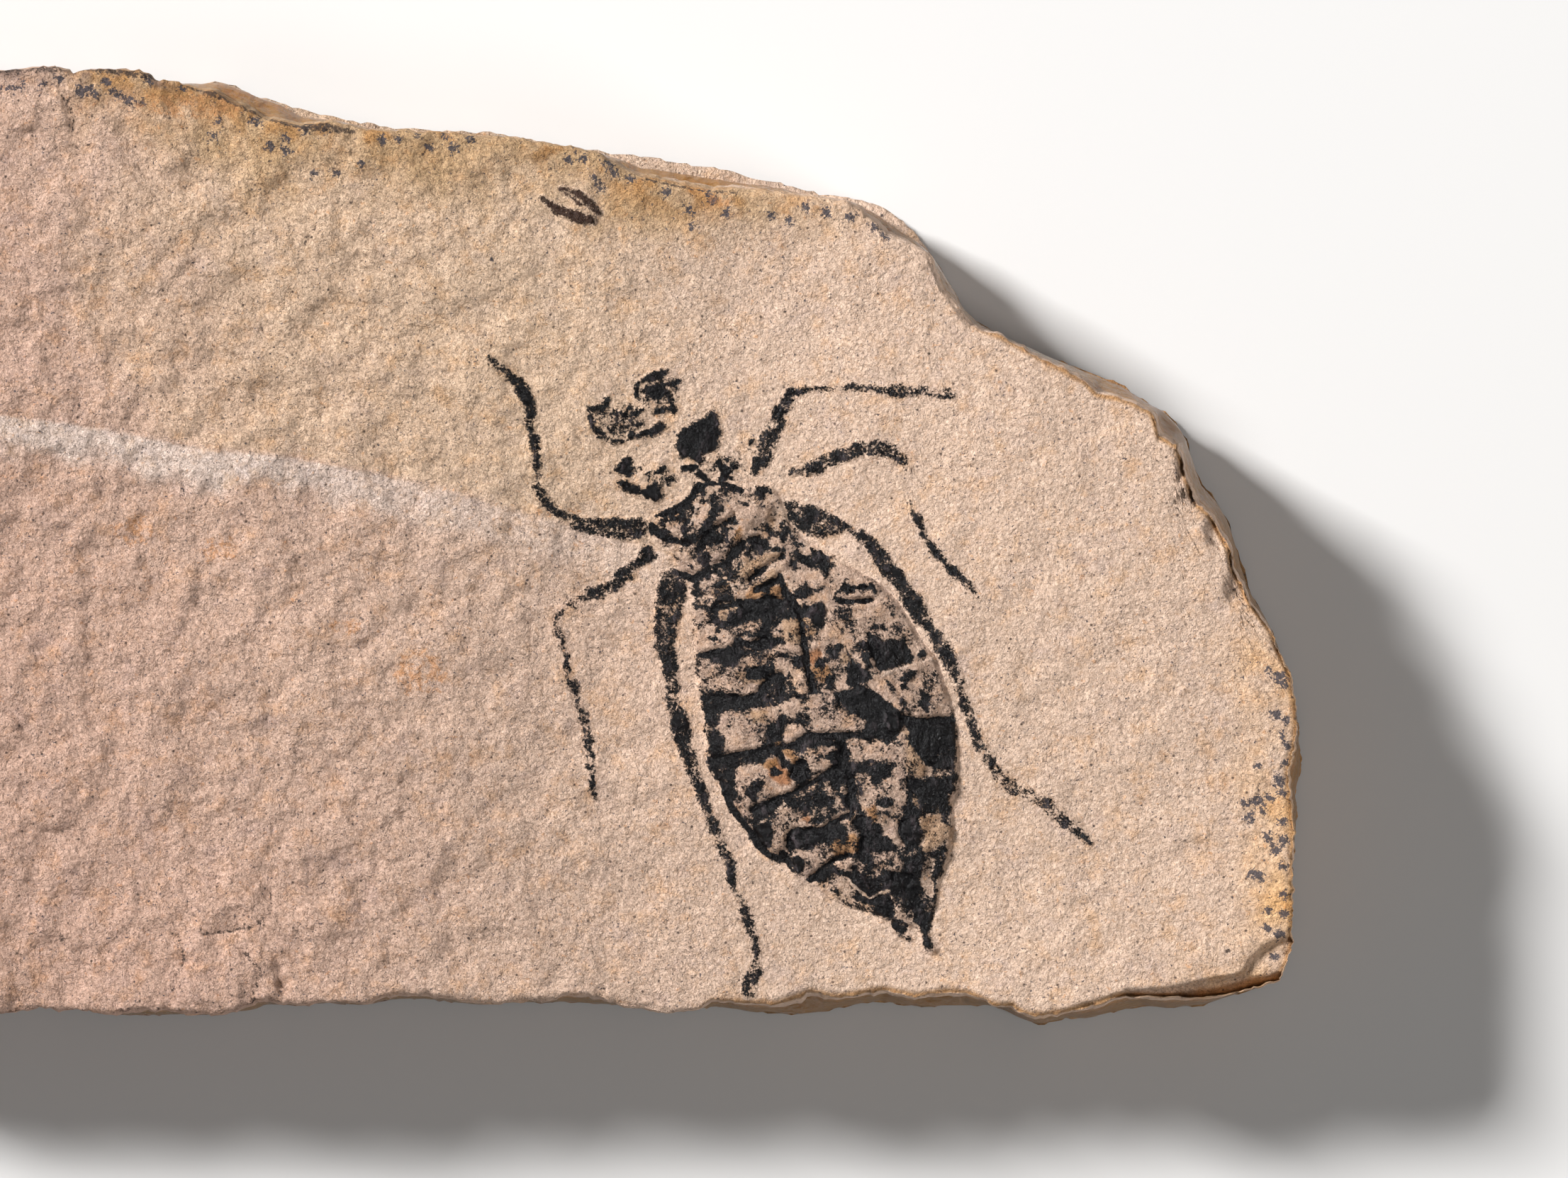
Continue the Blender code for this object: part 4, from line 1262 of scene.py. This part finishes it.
# %% Patches of the body
PATCHES = [
    ("cream", [(958, 760), (962, 753), (975, 748), (985, 728), (992, 715), (998, 722), (990, 740),
        (978, 752), (966, 760)]),
    ("cream", [(941, 742), (950, 740), (960, 745), (957, 753), (948, 755), (942, 750)]),
    ("cream", [(983, 770), (985, 755), (1000, 740), (1020, 723), (1032, 721), (1028, 732), (1015, 742),
        (1000, 750), (990, 766)]),
    ("cream", [(1002, 797), (1008, 782), (1022, 768), (1030, 748), (1045, 735), (1050, 742), (1045, 756),
        (1035, 770), (1022, 782), (1010, 795)]),
    ("ochre", [(1037, 765), (1038, 752), (1046, 744), (1050, 748), (1045, 758)]),
    ("cream", [(1022, 718), (1035, 705), (1048, 714), (1065, 711), (1078, 716), (1090, 716), (1078, 735),
        (1068, 748), (1052, 742), (1038, 728)]),
    ("cream", [(1052, 752), (1062, 746), (1072, 752), (1085, 750), (1090, 762), (1080, 757), (1066, 757)]),
    ("cream", [(1085, 760), (1100, 763), (1112, 762), (1118, 772), (1124, 786), (1117, 787), (1104, 774),
        (1092, 770)]),
    ("cream", [(1108, 739), (1120, 741), (1128, 752), (1131, 766), (1122, 768), (1114, 756)]),
    ("tan", [(1043, 803), (1055, 792), (1065, 785), (1080, 780), (1097, 781), (1100, 786), (1085, 794),
        (1068, 804), (1060, 816), (1050, 818), (1044, 812)]),
    ("cream", [(1098, 793), (1112, 787), (1112, 795), (1100, 800)]),
    ("cream", [(960, 799), (968, 797), (978, 806), (986, 802), (984, 810), (974, 811), (965, 806)]),
    ("tan", [(1010, 836), (1014, 820), (1022, 817), (1028, 826), (1026, 834)]),
    ("tan", [(1066, 824), (1078, 815), (1090, 806), (1100, 800), (1100, 808), (1085, 818), (1072, 828)]),
    ("ochre", [(1056, 833), (1066, 828), (1078, 833), (1095, 827), (1106, 824), (1110, 834), (1092, 838),
        (1075, 842), (1062, 846), (1054, 840)]),
    ("ochre", [(1098, 840), (1108, 838), (1106, 849), (1098, 847)]),
    ("tan", [(1018, 853), (1038, 851), (1040, 858), (1030, 862), (1026, 876), (1018, 874), (1014, 862)]),
    ("cream", [(980, 866), (992, 861), (1000, 865), (998, 872), (984, 876)]),
    ("cream", [(1100, 806), (1112, 799), (1128, 797), (1150, 802), (1168, 806), (1185, 800), (1200, 800),
        (1230, 815), (1258, 836), (1288, 880), (1302, 905), (1318, 926), (1290, 936), (1262, 946),
        (1250, 952), (1225, 945), (1205, 935), (1190, 912), (1178, 900), (1160, 902), (1150, 898),
        (1165, 880), (1168, 862), (1140, 855), (1125, 845), (1130, 828), (1115, 820)]),
    ("dust", [(1104, 818), (1122, 822), (1130, 836), (1112, 838), (1102, 830)]),
    ("dark", [(1120, 843), (1126, 828), (1137, 822), (1144, 829), (1158, 830), (1172, 825), (1174, 829),
        (1150, 838), (1132, 844)]),
    ("dark", [(1178, 836), (1186, 832), (1190, 814), (1198, 812), (1198, 826), (1215, 822), (1232, 825),
        (1236, 834), (1234, 845), (1222, 852), (1205, 850), (1188, 855), (1177, 848)]),
    ("cream", [(1186, 840), (1205, 838), (1228, 836), (1230, 842), (1212, 846), (1195, 846)]),
    ("dust", [(1140, 846), (1175, 846), (1178, 858), (1150, 860)]),
    ("gloss", [(1138, 857), (1160, 852), (1166, 862), (1160, 880), (1152, 898), (1142, 898), (1140, 880)]),
    ("dust", [(1165, 858), (1240, 856), (1245, 880), (1220, 888), (1180, 896), (1168, 880)]),
    ("dark", [(1228, 887), (1235, 880), (1245, 879), (1258, 893), (1243, 889)]),
    ("dark", [(1222, 893), (1232, 895), (1245, 905), (1275, 906), (1290, 926), (1290, 934), (1262, 942),
        (1250, 946), (1238, 944), (1228, 920)]),
    ("dark", [(1210, 908), (1220, 905), (1222, 914), (1212, 916)]),
    ("dark", [(1213, 922), (1224, 922), (1232, 942), (1222, 943)]),
    ("dark", [(1255, 862), (1262, 861), (1264, 870), (1256, 870)]),
    ("dust", [(1240, 845), (1262, 850), (1260, 858), (1244, 856)]),
    ("dark", [(1293, 924), (1300, 914), (1308, 920), (1308, 930), (1297, 931)]),
    ("tan", [(1106, 878), (1112, 870), (1130, 873), (1135, 890), (1130, 905), (1118, 914), (1108, 905)]),
    ("tan", [(1130, 872), (1140, 872), (1150, 885), (1148, 897), (1136, 896)]),
    ("cream", [(1142, 906), (1165, 900), (1185, 900), (1192, 910), (1200, 930), (1205, 950), (1215, 962),
        (1205, 972), (1180, 974), (1160, 977), (1152, 970), (1145, 950), (1140, 930)]),
    ("rust", [(1141, 923), (1154, 915), (1158, 928), (1145, 936)]),
    ("ochre", [(1145, 942), (1168, 938), (1172, 955), (1160, 962), (1150, 958)]),
    ("dark", [(1165, 912), (1185, 907), (1190, 912), (1182, 928), (1160, 940), (1150, 941), (1155, 930),
        (1168, 925)]),
    ("dark", [(1193, 942), (1204, 928), (1213, 948), (1222, 962), (1210, 975), (1196, 966)]),
    ("dark", [(1167, 957), (1177, 954), (1176, 969), (1168, 970)]),
    ("tan", [(1186, 922), (1200, 922), (1200, 936), (1188, 936)]),
    ("cream", [(1212, 966), (1235, 952), (1262, 945), (1300, 930), (1320, 925), (1330, 938), (1343, 985),
        (1345, 1008), (1320, 1012), (1300, 1016), (1270, 1010), (1255, 995), (1235, 980)]),
    ("dark", [(1268, 960), (1274, 950), (1298, 942), (1290, 956), (1280, 962)]),
    ("dark", [(1268, 968), (1278, 962), (1280, 972), (1272, 975)]),
    ("dark", [(1252, 962), (1260, 966), (1264, 980), (1256, 978)]),
    ("dust", [(1300, 944), (1316, 950), (1318, 972), (1304, 966)]),
    ("dark", [(1264, 984), (1276, 980), (1278, 992), (1268, 992)]),
    ("dark", [(1296, 996), (1300, 978), (1310, 972), (1312, 985), (1306, 1003)]),
    ("cream", [(978, 895), (986, 887), (1005, 882), (1012, 886), (1025, 888), (1042, 881), (1060, 877),
        (1072, 875), (1075, 884), (1062, 890), (1048, 889), (1038, 894), (1034, 908), (1020, 917),
        (1000, 919), (982, 919)]),
    ("dark", [(998, 900), (1004, 896), (1016, 899), (1008, 903)]),
    ("dark", [(1007, 893), (1012, 884), (1020, 882), (1016, 893)]),
    ("cream", [(1048, 898), (1068, 904), (1060, 909), (1051, 905)]),
    ("cream", [(1088, 888), (1100, 884), (1100, 896), (1090, 897)]),
    ("cream", [(1040, 934), (1048, 928), (1065, 925), (1080, 918), (1095, 912), (1112, 908), (1128, 912),
        (1134, 918), (1120, 923), (1100, 921), (1088, 926), (1078, 938), (1058, 942), (1046, 948)]),
    ("cream", [(1020, 944), (1040, 940), (1052, 944), (1058, 957), (1080, 956), (1079, 972), (1060, 980),
        (1030, 982), (1018, 974)]),
    ("tan", [(1042, 950), (1055, 950), (1062, 960), (1080, 958), (1078, 964), (1050, 964)]),
    ("deep", [(1054, 956), (1060, 945), (1074, 941), (1082, 943), (1080, 954), (1064, 957)]),
    ("cream", [(984, 928), (995, 930), (1018, 938), (1020, 944), (1000, 955), (986, 958)]),
    ("cream", [(1000, 962), (1012, 958), (1020, 962), (1018, 972), (1002, 974)]),
    ("dust", [(988, 958), (1000, 965), (998, 980), (986, 972)]),
    ("cream", [(1095, 931), (1112, 929), (1112, 940), (1106, 952), (1098, 950)]),
    ("dust", [(1116, 940), (1138, 940), (1142, 978), (1124, 978), (1118, 960)]),
    ("cream", [(1126, 960), (1138, 955), (1142, 975), (1130, 978)]),
    ("cream", [(1012, 1026), (1022, 1003), (1050, 1001), (1078, 1003), (1095, 997), (1103, 1001),
        (1096, 1014), (1080, 1018), (1078, 1030), (1080, 1042), (1074, 1052), (1058, 1058), (1038, 1062),
        (1020, 1065), (1014, 1055), (1022, 1042)]),
    ("tan", [(1060, 1006), (1080, 1005), (1078, 1018), (1064, 1018)]),
    ("dark", [(1023, 1022), (1030, 1020), (1030, 1036), (1024, 1036)]),
    ("cream", [(1096, 997), (1112, 990), (1124, 988), (1131, 994), (1120, 1008), (1108, 1004)]),
    ("cream", [(1105, 1040), (1110, 1028), (1122, 1023), (1134, 1030), (1137, 1040), (1122, 1049),
        (1108, 1050)]),
    ("cream", [(1142, 985), (1150, 980), (1175, 978), (1180, 990), (1178, 1000), (1195, 1003), (1215, 1012),
        (1226, 1020), (1216, 1034), (1190, 1037), (1150, 1036), (1146, 1010)]),
    ("dust", [(1178, 985), (1195, 990), (1192, 1002), (1180, 1000)]),
    ("deep", [(1180, 980), (1192, 976), (1212, 978), (1225, 972), (1238, 980), (1250, 988), (1262, 1000),
        (1270, 1012), (1262, 1018), (1240, 1016), (1225, 1016), (1210, 1006), (1200, 1000), (1190, 992)]),
    ("gloss", [(1248, 1002), (1262, 1000), (1272, 1015), (1270, 1030), (1256, 1034), (1246, 1020)]),
    ("tan", [(1275, 1032), (1284, 1030), (1284, 1048), (1295, 1065), (1305, 1080), (1303, 1098),
        (1282, 1100), (1276, 1080)]),
    ("cream", [(1193, 1042), (1205, 1040), (1220, 1044), (1225, 1052), (1245, 1050), (1262, 1040),
        (1276, 1036), (1278, 1080), (1255, 1078), (1235, 1068), (1222, 1072), (1212, 1076), (1200, 1068),
        (1192, 1056)]),
    ("dust", [(1228, 1040), (1250, 1040), (1246, 1060), (1226, 1058)]),
    ("deep", [(1280, 1014), (1344, 1015), (1346, 1060), (1322, 1064), (1308, 1078), (1296, 1064),
        (1284, 1045)]),
    ("dust", [(1303, 1080), (1345, 1084), (1345, 1098), (1305, 1098)]),
    ("dark", [(1318, 1070), (1330, 1065), (1338, 1072), (1338, 1082), (1322, 1084), (1308, 1082)]),
    ("tan", [(1286, 1120), (1296, 1124), (1296, 1142), (1288, 1138)]),
    ("cream", [(1124, 1062), (1140, 1055), (1160, 1052), (1182, 1052), (1182, 1060), (1165, 1062),
        (1152, 1068), (1146, 1078), (1138, 1074)]),
    ("cream", [(1146, 1078), (1160, 1073), (1175, 1075), (1172, 1082), (1158, 1088), (1147, 1088)]),
    ("cream", [(1144, 1098), (1150, 1093), (1157, 1096), (1152, 1105), (1146, 1104)]),
    ("cream", [(1038, 1090), (1048, 1084), (1065, 1080), (1078, 1074), (1090, 1066), (1100, 1070),
        (1104, 1085), (1115, 1095), (1124, 1104), (1122, 1118), (1105, 1122), (1080, 1130), (1062, 1136),
        (1058, 1152), (1045, 1150), (1034, 1136), (1040, 1120)]),
    ("rust", [(1084, 1080), (1090, 1070), (1098, 1072), (1104, 1085), (1116, 1095), (1112, 1106),
        (1100, 1104), (1088, 1094)]),
    ("ochre", [(1072, 1078), (1085, 1070), (1096, 1068), (1098, 1080), (1084, 1084)]),
    ("ochre", [(1088, 1046), (1100, 1046), (1112, 1056), (1125, 1064), (1129, 1073), (1118, 1076),
        (1112, 1066), (1100, 1056)]),
    ("deep", [(1087, 1084), (1096, 1083), (1102, 1090), (1090, 1093)]),
    ("dark", [(1053, 1120), (1060, 1104), (1070, 1098), (1079, 1104), (1070, 1116), (1066, 1130),
        (1058, 1128)]),
    ("cream", [(1162, 1112), (1168, 1104), (1174, 1106), (1183, 1120), (1190, 1136), (1196, 1142),
        (1185, 1140), (1172, 1124)]),
    ("cream", [(1184, 1110), (1190, 1108), (1194, 1118), (1189, 1120)]),
    ("cream", [(1158, 1140), (1163, 1138), (1167, 1150), (1165, 1158), (1160, 1156)]),
    ("cream", [(1140, 1162), (1160, 1160), (1175, 1152), (1190, 1144), (1200, 1140), (1204, 1144),
        (1190, 1152), (1170, 1166), (1155, 1172), (1144, 1170)]),
    ("cream", [(1080, 1160), (1092, 1150), (1105, 1139), (1125, 1137), (1134, 1144), (1138, 1158),
        (1142, 1166), (1125, 1168), (1118, 1180), (1112, 1194), (1112, 1204), (1098, 1206), (1086, 1196),
        (1088, 1182), (1089, 1165)]),
    ("rust", [(1130, 1146), (1140, 1148), (1144, 1156), (1138, 1162), (1132, 1154)]),
    ("gloss", [(1113, 1180), (1122, 1172), (1136, 1174), (1138, 1190), (1130, 1200), (1116, 1196)]),
    ("gloss", [(1140, 1198), (1138, 1185), (1155, 1180), (1165, 1176), (1158, 1188), (1150, 1198)]),
    ("gloss", [(1068, 1165), (1085, 1160), (1090, 1180), (1086, 1195), (1076, 1192), (1068, 1180)]),
    ("cream", [(1192, 1158), (1200, 1156), (1206, 1166), (1198, 1168)]),
    ("ochre", [(1168, 1195), (1180, 1182), (1192, 1184), (1196, 1176), (1204, 1174), (1212, 1186),
        (1216, 1196), (1205, 1203), (1190, 1206), (1176, 1206)]),
    ("cream", [(1118, 1210), (1130, 1202), (1150, 1196), (1164, 1188), (1172, 1198), (1176, 1208),
        (1168, 1216), (1160, 1226), (1150, 1236), (1138, 1240), (1130, 1230), (1134, 1218)]),
    ("gloss", [(1118, 1212), (1128, 1212), (1133, 1222), (1130, 1234), (1122, 1230)]),
    ("cream", [(1178, 1222), (1188, 1214), (1200, 1208), (1210, 1216), (1222, 1220), (1214, 1228),
        (1200, 1226), (1188, 1228)]),
    ("cream", [(1229, 1203), (1255, 1203), (1266, 1208), (1275, 1218), (1270, 1230), (1256, 1231),
        (1240, 1226), (1234, 1214)]),
    ("cream", [(1232, 1226), (1245, 1228), (1246, 1236), (1236, 1236)]),
    ("dust", [(1160, 1236), (1175, 1230), (1195, 1235), (1208, 1248), (1205, 1262), (1185, 1258),
        (1168, 1252)]),
    ("cream", [(1206, 1092), (1222, 1090), (1236, 1100), (1258, 1094), (1262, 1082), (1276, 1082),
        (1280, 1120), (1276, 1150), (1266, 1160), (1266, 1178), (1276, 1196), (1262, 1190), (1255, 1178),
        (1240, 1165), (1222, 1150), (1214, 1135), (1212, 1110)]),
    ("dark", [(1228, 1100), (1235, 1084), (1258, 1082), (1256, 1096), (1238, 1105), (1232, 1108)]),
    ("dust", [(1245, 1098), (1262, 1110), (1250, 1120), (1238, 1112)]),
    ("ochre", [(1222, 1142), (1232, 1138), (1240, 1150), (1238, 1164), (1228, 1158)]),
    ("dark", [(1240, 1132), (1250, 1126), (1262, 1128), (1258, 1140), (1244, 1140)]),
    ("dark", [(1243, 1146), (1254, 1143), (1258, 1152), (1248, 1150)]),
    ("gloss", [(1268, 1172), (1272, 1160), (1285, 1157), (1300, 1160), (1302, 1180), (1296, 1192),
        (1284, 1194), (1274, 1184)]),
    ("tan", [(1296, 1152), (1320, 1146), (1330, 1150), (1328, 1160), (1345, 1165), (1342, 1180),
        (1325, 1190), (1318, 1200), (1306, 1206), (1296, 1200), (1303, 1180)]),
    ("dust", [(1318, 1166), (1336, 1168), (1332, 1182), (1318, 1180)]),
    ("dust", [(1300, 1215), (1318, 1210), (1318, 1250), (1306, 1262), (1300, 1240)]),
    ("dust", [(1255, 1262), (1285, 1262), (1290, 1290), (1285, 1300), (1262, 1298)]),
    ("dust", [(1296, 1262), (1316, 1240), (1316, 1285), (1305, 1290)]),
    ("dust", [(1170, 1258), (1200, 1264), (1220, 1274), (1245, 1276), (1235, 1286), (1200, 1280)]),
    ("dust", [(998, 690), (1040, 694), (1085, 700), (1092, 722), (1060, 712), (1020, 716), (990, 722)]),
    ("dust", [(936, 756), (960, 766), (1000, 770), (990, 792), (965, 796), (945, 778)]),
    ("dust", [(1000, 772), (1030, 758), (1060, 745), (1058, 756), (1040, 772), (1018, 796), (1000, 802)]),
    ("dust", [(988, 822), (1010, 812), (1050, 822), (1056, 846), (1020, 842), (992, 846)]),
    ("dust", [(1100, 720), (1112, 742), (1130, 766), (1150, 786), (1130, 784), (1108, 762), (1096, 738)]),
]
print(len(PATCHES), "patches")

# %% Grooves and rims of the body
GROOVES = [
    [(925, 728, 3), (945, 720, 4), (960, 712, 4), (975, 700, 5), (985, 688, 5), (1000, 682, 4),
        (1025, 684, 4), (1045, 690, 4)],
    [(922, 745, 9), (935, 758, 8), (955, 765, 5), (970, 768, 3)],
    [(985, 778, 4), (993, 760, 5), (1005, 748, 4), (1035, 731, 2)],
    [(1000, 800, 3), (1025, 795, 5), (1035, 780, 5), (1050, 765, 4), (1070, 759, 3)],
    [(1058, 817, 3), (1072, 806, 3), (1090, 793, 3), (1103, 786, 2)],
    [(1068, 832, 4), (1085, 824, 3), (1100, 817, 4)],
    [(956, 812, 4), (975, 815, 4), (1000, 808, 3), (1018, 800, 3)],
    [(1100, 812, 2), (1106, 835, 5), (1118, 848, 4), (1128, 862, 3), (1132, 885, 2), (1133, 905, 3),
        (1137, 920, 4), (1140, 945, 3), (1147, 974, 3)],
    [(1005, 860, 3), (1040, 852, 4), (1080, 850, 6), (1105, 850, 4)],
    [(1060, 868, 4), (1095, 858, 3), (1118, 853, 2)],
    [(992, 925, 3), (1005, 921, 4), (1035, 917, 4), (1040, 903, 4), (1060, 911, 5), (1080, 905, 3)],
    [(992, 985, 4), (1020, 986, 3), (1045, 988, 4), (1070, 984, 6), (1082, 965, 5), (1090, 955, 3)],
    [(1100, 955, 6), (1103, 975, 5)], [(1085, 985, 2), (1095, 995, 3)],
    [(1000, 1075, 3), (1040, 1065, 4), (1085, 1058, 3), (1115, 1052, 3), (1140, 1039, 5), (1180, 1037, 4),
        (1200, 1036, 3)],
    [(1000, 1070, 3), (1015, 1100, 3), (1025, 1125, 4), (1038, 1148, 4), (1060, 1175, 4), (1068, 1192, 4),
        (1085, 1208, 4), (1110, 1214, 4)],
    [(1060, 1143, 3), (1095, 1128, 3), (1120, 1118, 3), (1150, 1102, 3), (1170, 1090, 5), (1190, 1080, 5)],
    [(1127, 1078, 5), (1121, 1094, 6)], [(1188, 1045, 5), (1187, 1070, 6), (1196, 1082, 4)],
    [(1198, 1085, 4), (1201, 1115, 5), (1200, 1140, 4)],
    [(1104, 1205, 5), (1112, 1218, 4), (1118, 1230, 3)],
    [(1113, 1200, 2), (1112, 1185, 3), (1120, 1170, 3), (1135, 1174, 3), (1160, 1170, 3), (1185, 1155, 3),
        (1203, 1146, 2)],
    [(1143, 1241, 5), (1155, 1232, 4), (1165, 1222, 3), (1180, 1212, 3), (1198, 1206, 3)],
    [(1205, 1225, 3), (1212, 1240, 5), (1222, 1256, 4), (1228, 1266, 2)],
    [(1225, 1270, 2), (1245, 1268, 3), (1258, 1275, 3), (1256, 1292, 3)],
    [(1262, 1235, 5), (1282, 1240, 6), (1275, 1255, 4)],
    [(1215, 1200, 4), (1218, 1175, 2), (1205, 1160, 3)], [(1285, 1262, 6), (1295, 1275, 6)],
    [(1262, 1306, 6), (1275, 1312, 5)], [(1272, 1012, 2), (1300, 1017, 3), (1344, 1014, 3)],
    [(1226, 894, 3), (1233, 915, 4), (1240, 940, 4)], [(1272, 1162, 2), (1270, 1172, 3), (1278, 1186, 2)],
    [(1099, 1060, 3), (1103, 1072, 4), (1104, 1082, 2)], [(1284, 1104, 4), (1290, 1112, 5)],
    [(1200, 832, 2), (1222, 829, 2)], [(1190, 850, 3), (1230, 847, 3)],
]
# Thin raised rims whose bare stone is tinted with GLINT, a painted highlight.
RIMS = [
    [(1245, 952, 1.2), (1285, 939, 1.2), (1320, 929, 1.4)],
    [(1330, 935, 1), (1342, 975, 1.5), (1345, 996, 1.5)], [(984, 710, 1), (979, 730, 1.4), (970, 745, 1)],
    [(1070, 1163, 1), (1085, 1151, 1.4), (1108, 1133, 1)],
    [(1200, 1246, 1), (1214, 1257, 1.2), (1227, 1268, 1.2), (1242, 1260, 1.4), (1256, 1256, 1)],
    [(1022, 815, 1), (1038, 833, 1.4)], [(1304, 1077, 0.8), (1314, 1068, 1.2), (1343, 1057, 1)],
    [(1150, 1236, 0.8), (1163, 1226, 1), (1182, 1215, 1)], [(1126, 848, 1), (1133, 860, 1.4)],
]

print(len(GROOVES), "grooves and", len(RIMS), "rims")

# %% Body film
BODY_WINDOW = (895, 660, 1370, 1362)
place, base = close_up(*BODY_WINDOW, 2)
x, y = place[..., 0], place[..., 1]
outline = drawn(x, y, NYMPH_BODY)
thorax = 1 - soft(y + 0.2 * x, 1000, 1090)
field = outline + 5 + 3 * thorax
cover = 1.1 * np.clip(outline - 1 + (4.5 + 5 * thorax) * hills(x, y, 24, 182, 4, 0.7), -7, 3.8)
fray = 2.4 * hills(x, y, 19, 183, 4, 0.72) + 4.5 * thorax * hills(x, y, 12, 187, 4, 0.75)
tint = stone_tint(x, y, np.full(x.shape, OUT_OF_WEATHER))
tint = blended(tint, np.array(BARE["cream"]), 0.5 * soft(outline, 0, 8))
painted_sheen_share = np.full(x.shape, PLAIN_PAINTED_SHEEN)
gloss = np.zeros(x.shape)
plates = np.zeros(x.shape)
for kind, shape in PATCHES:
    deep_in = drawn(x, y, shape) + fray
    amount = soft(deep_in, -2, 2)
    if kind in BARE:
        least = -2.4 if kind == "cream" else -1.5
        window_cover = np.maximum(-0.2 - 0.8 * deep_in, least)
        cover = np.where(deep_in > -6, np.minimum(cover, window_cover), cover)
        tint = blended(tint, np.array(BARE[kind]), 0.85 * soft(deep_in, -3, 1))
    else:
        cover = cover + (COVERED[kind] - cover) * amount
    plates = plates + (0.5 - plates) * amount * (kind in BARE) - plates * amount * (kind == "deep")
    # Each patch sets its share of painted sheen: painted shadow in deep patches, more sheen on glossy ones.
    painted_sheen_share = painted_sheen_share + (PAINTED_SHEEN.get(kind, PLAIN_PAINTED_SHEEN) - painted_sheen_share) * amount
    gloss = gloss + ((kind == "gloss") - gloss) * amount
cover = cover + (2.6 + 2.4 * thorax) * hills(x, y, 28, 186, 4, 0.72) - 1.4 * thorax
print("cover after the patches, on average", round(float(cover.mean()), 2))

# %% Grooves, rims and relief of the body
BODY_THICKNESS = 0.045  # millimetres, as are the heights of the relief
FULL_COVER = 9
sunk = np.zeros(x.shape)
# Grooves are sunk and fully black without sheen: the film's own black and painted shadow.
for shape in GROOVES:
    depth_in = drawn(x, y, shape) + 0.5 * fray
    amount = soft(depth_in, -0.5, 2.5)
    sunk = np.maximum(sunk, soft(depth_in, -4.5, 2))
    cover = cover + (FULL_COVER - cover) * amount
    painted_sheen_share = painted_sheen_share * (1 - amount)
    gloss = gloss * (1 - amount)
raised = np.zeros(x.shape)
# Rims stand up a little and carry a painted highlight in their colour.
for shape in RIMS:
    ridge = soft(drawn(x, y, shape) + 0.3 * fray, -1.5, 1)
    raised = np.maximum(raised, ridge)
    cover = cover - 8 * ridge
    tint = blended(tint, np.array(GLINT), 0.8 * ridge)
cover = cover * (1 + 0.4 * soft(cover, 1, 4))
relief = 0.040 * hills(x, y, 34, 184, 2) + 0.030 * hills(x, y, 12, 185, 3, 0.6)
relief = np.maximum(relief + 0.11 * plates + 0.05 * gloss + 0.06 * raised + 0.10 - 0.16 * sunk, 0.004)
lumpy = base + relief * MM * soft(field, 0, 9)
marks = {"cover": cover, "gloss": gloss, "painted_sheen_share": painted_sheen_share, "tint": tint, "rough": broken(x, y)}
film("nymph_body_film", "nymph_body", place, lumpy, field, cuticle, marks, BODY_THICKNESS)

# %% [markdown]
# ## A scrap of another shell
# Near the top edge lies a bent scrap of brown crust that doesn't belong to the nymph.

# %% Shell scrap
SHELL_STRIPS = [
    [(793, 266, 2.5), (812, 272, 4), (830, 284, 5), (845, 300, 3)],
    [(766, 280, 3), (775, 288, 4), (790, 297, 6), (808, 304, 7), (824, 308, 6), (836, 312, 4)],
    [(797, 272, 1), (808, 279, 1.5), (818, 287, 1.5)],
]
SHELL_WINDOW = (755, 258, 858, 328)
SHELL_THICKNESS = 0.07  # millimetres
place, base = close_up(*SHELL_WINDOW, 4)
x, y = place[..., 0], place[..., 1]
field = drawn_all(x, y, SHELL_STRIPS)
cover = 1.3 * np.clip(field, -6, 3) + 1.5 + 2.5 * hills(x, y, 14, 192, 2)
marks = film_marks(x, y, cover, np.zeros(x.shape))
film("shell_scrap_crust", "shell_fragment", place, base, field + 4, shell_crust, marks, SHELL_THICKNESS)
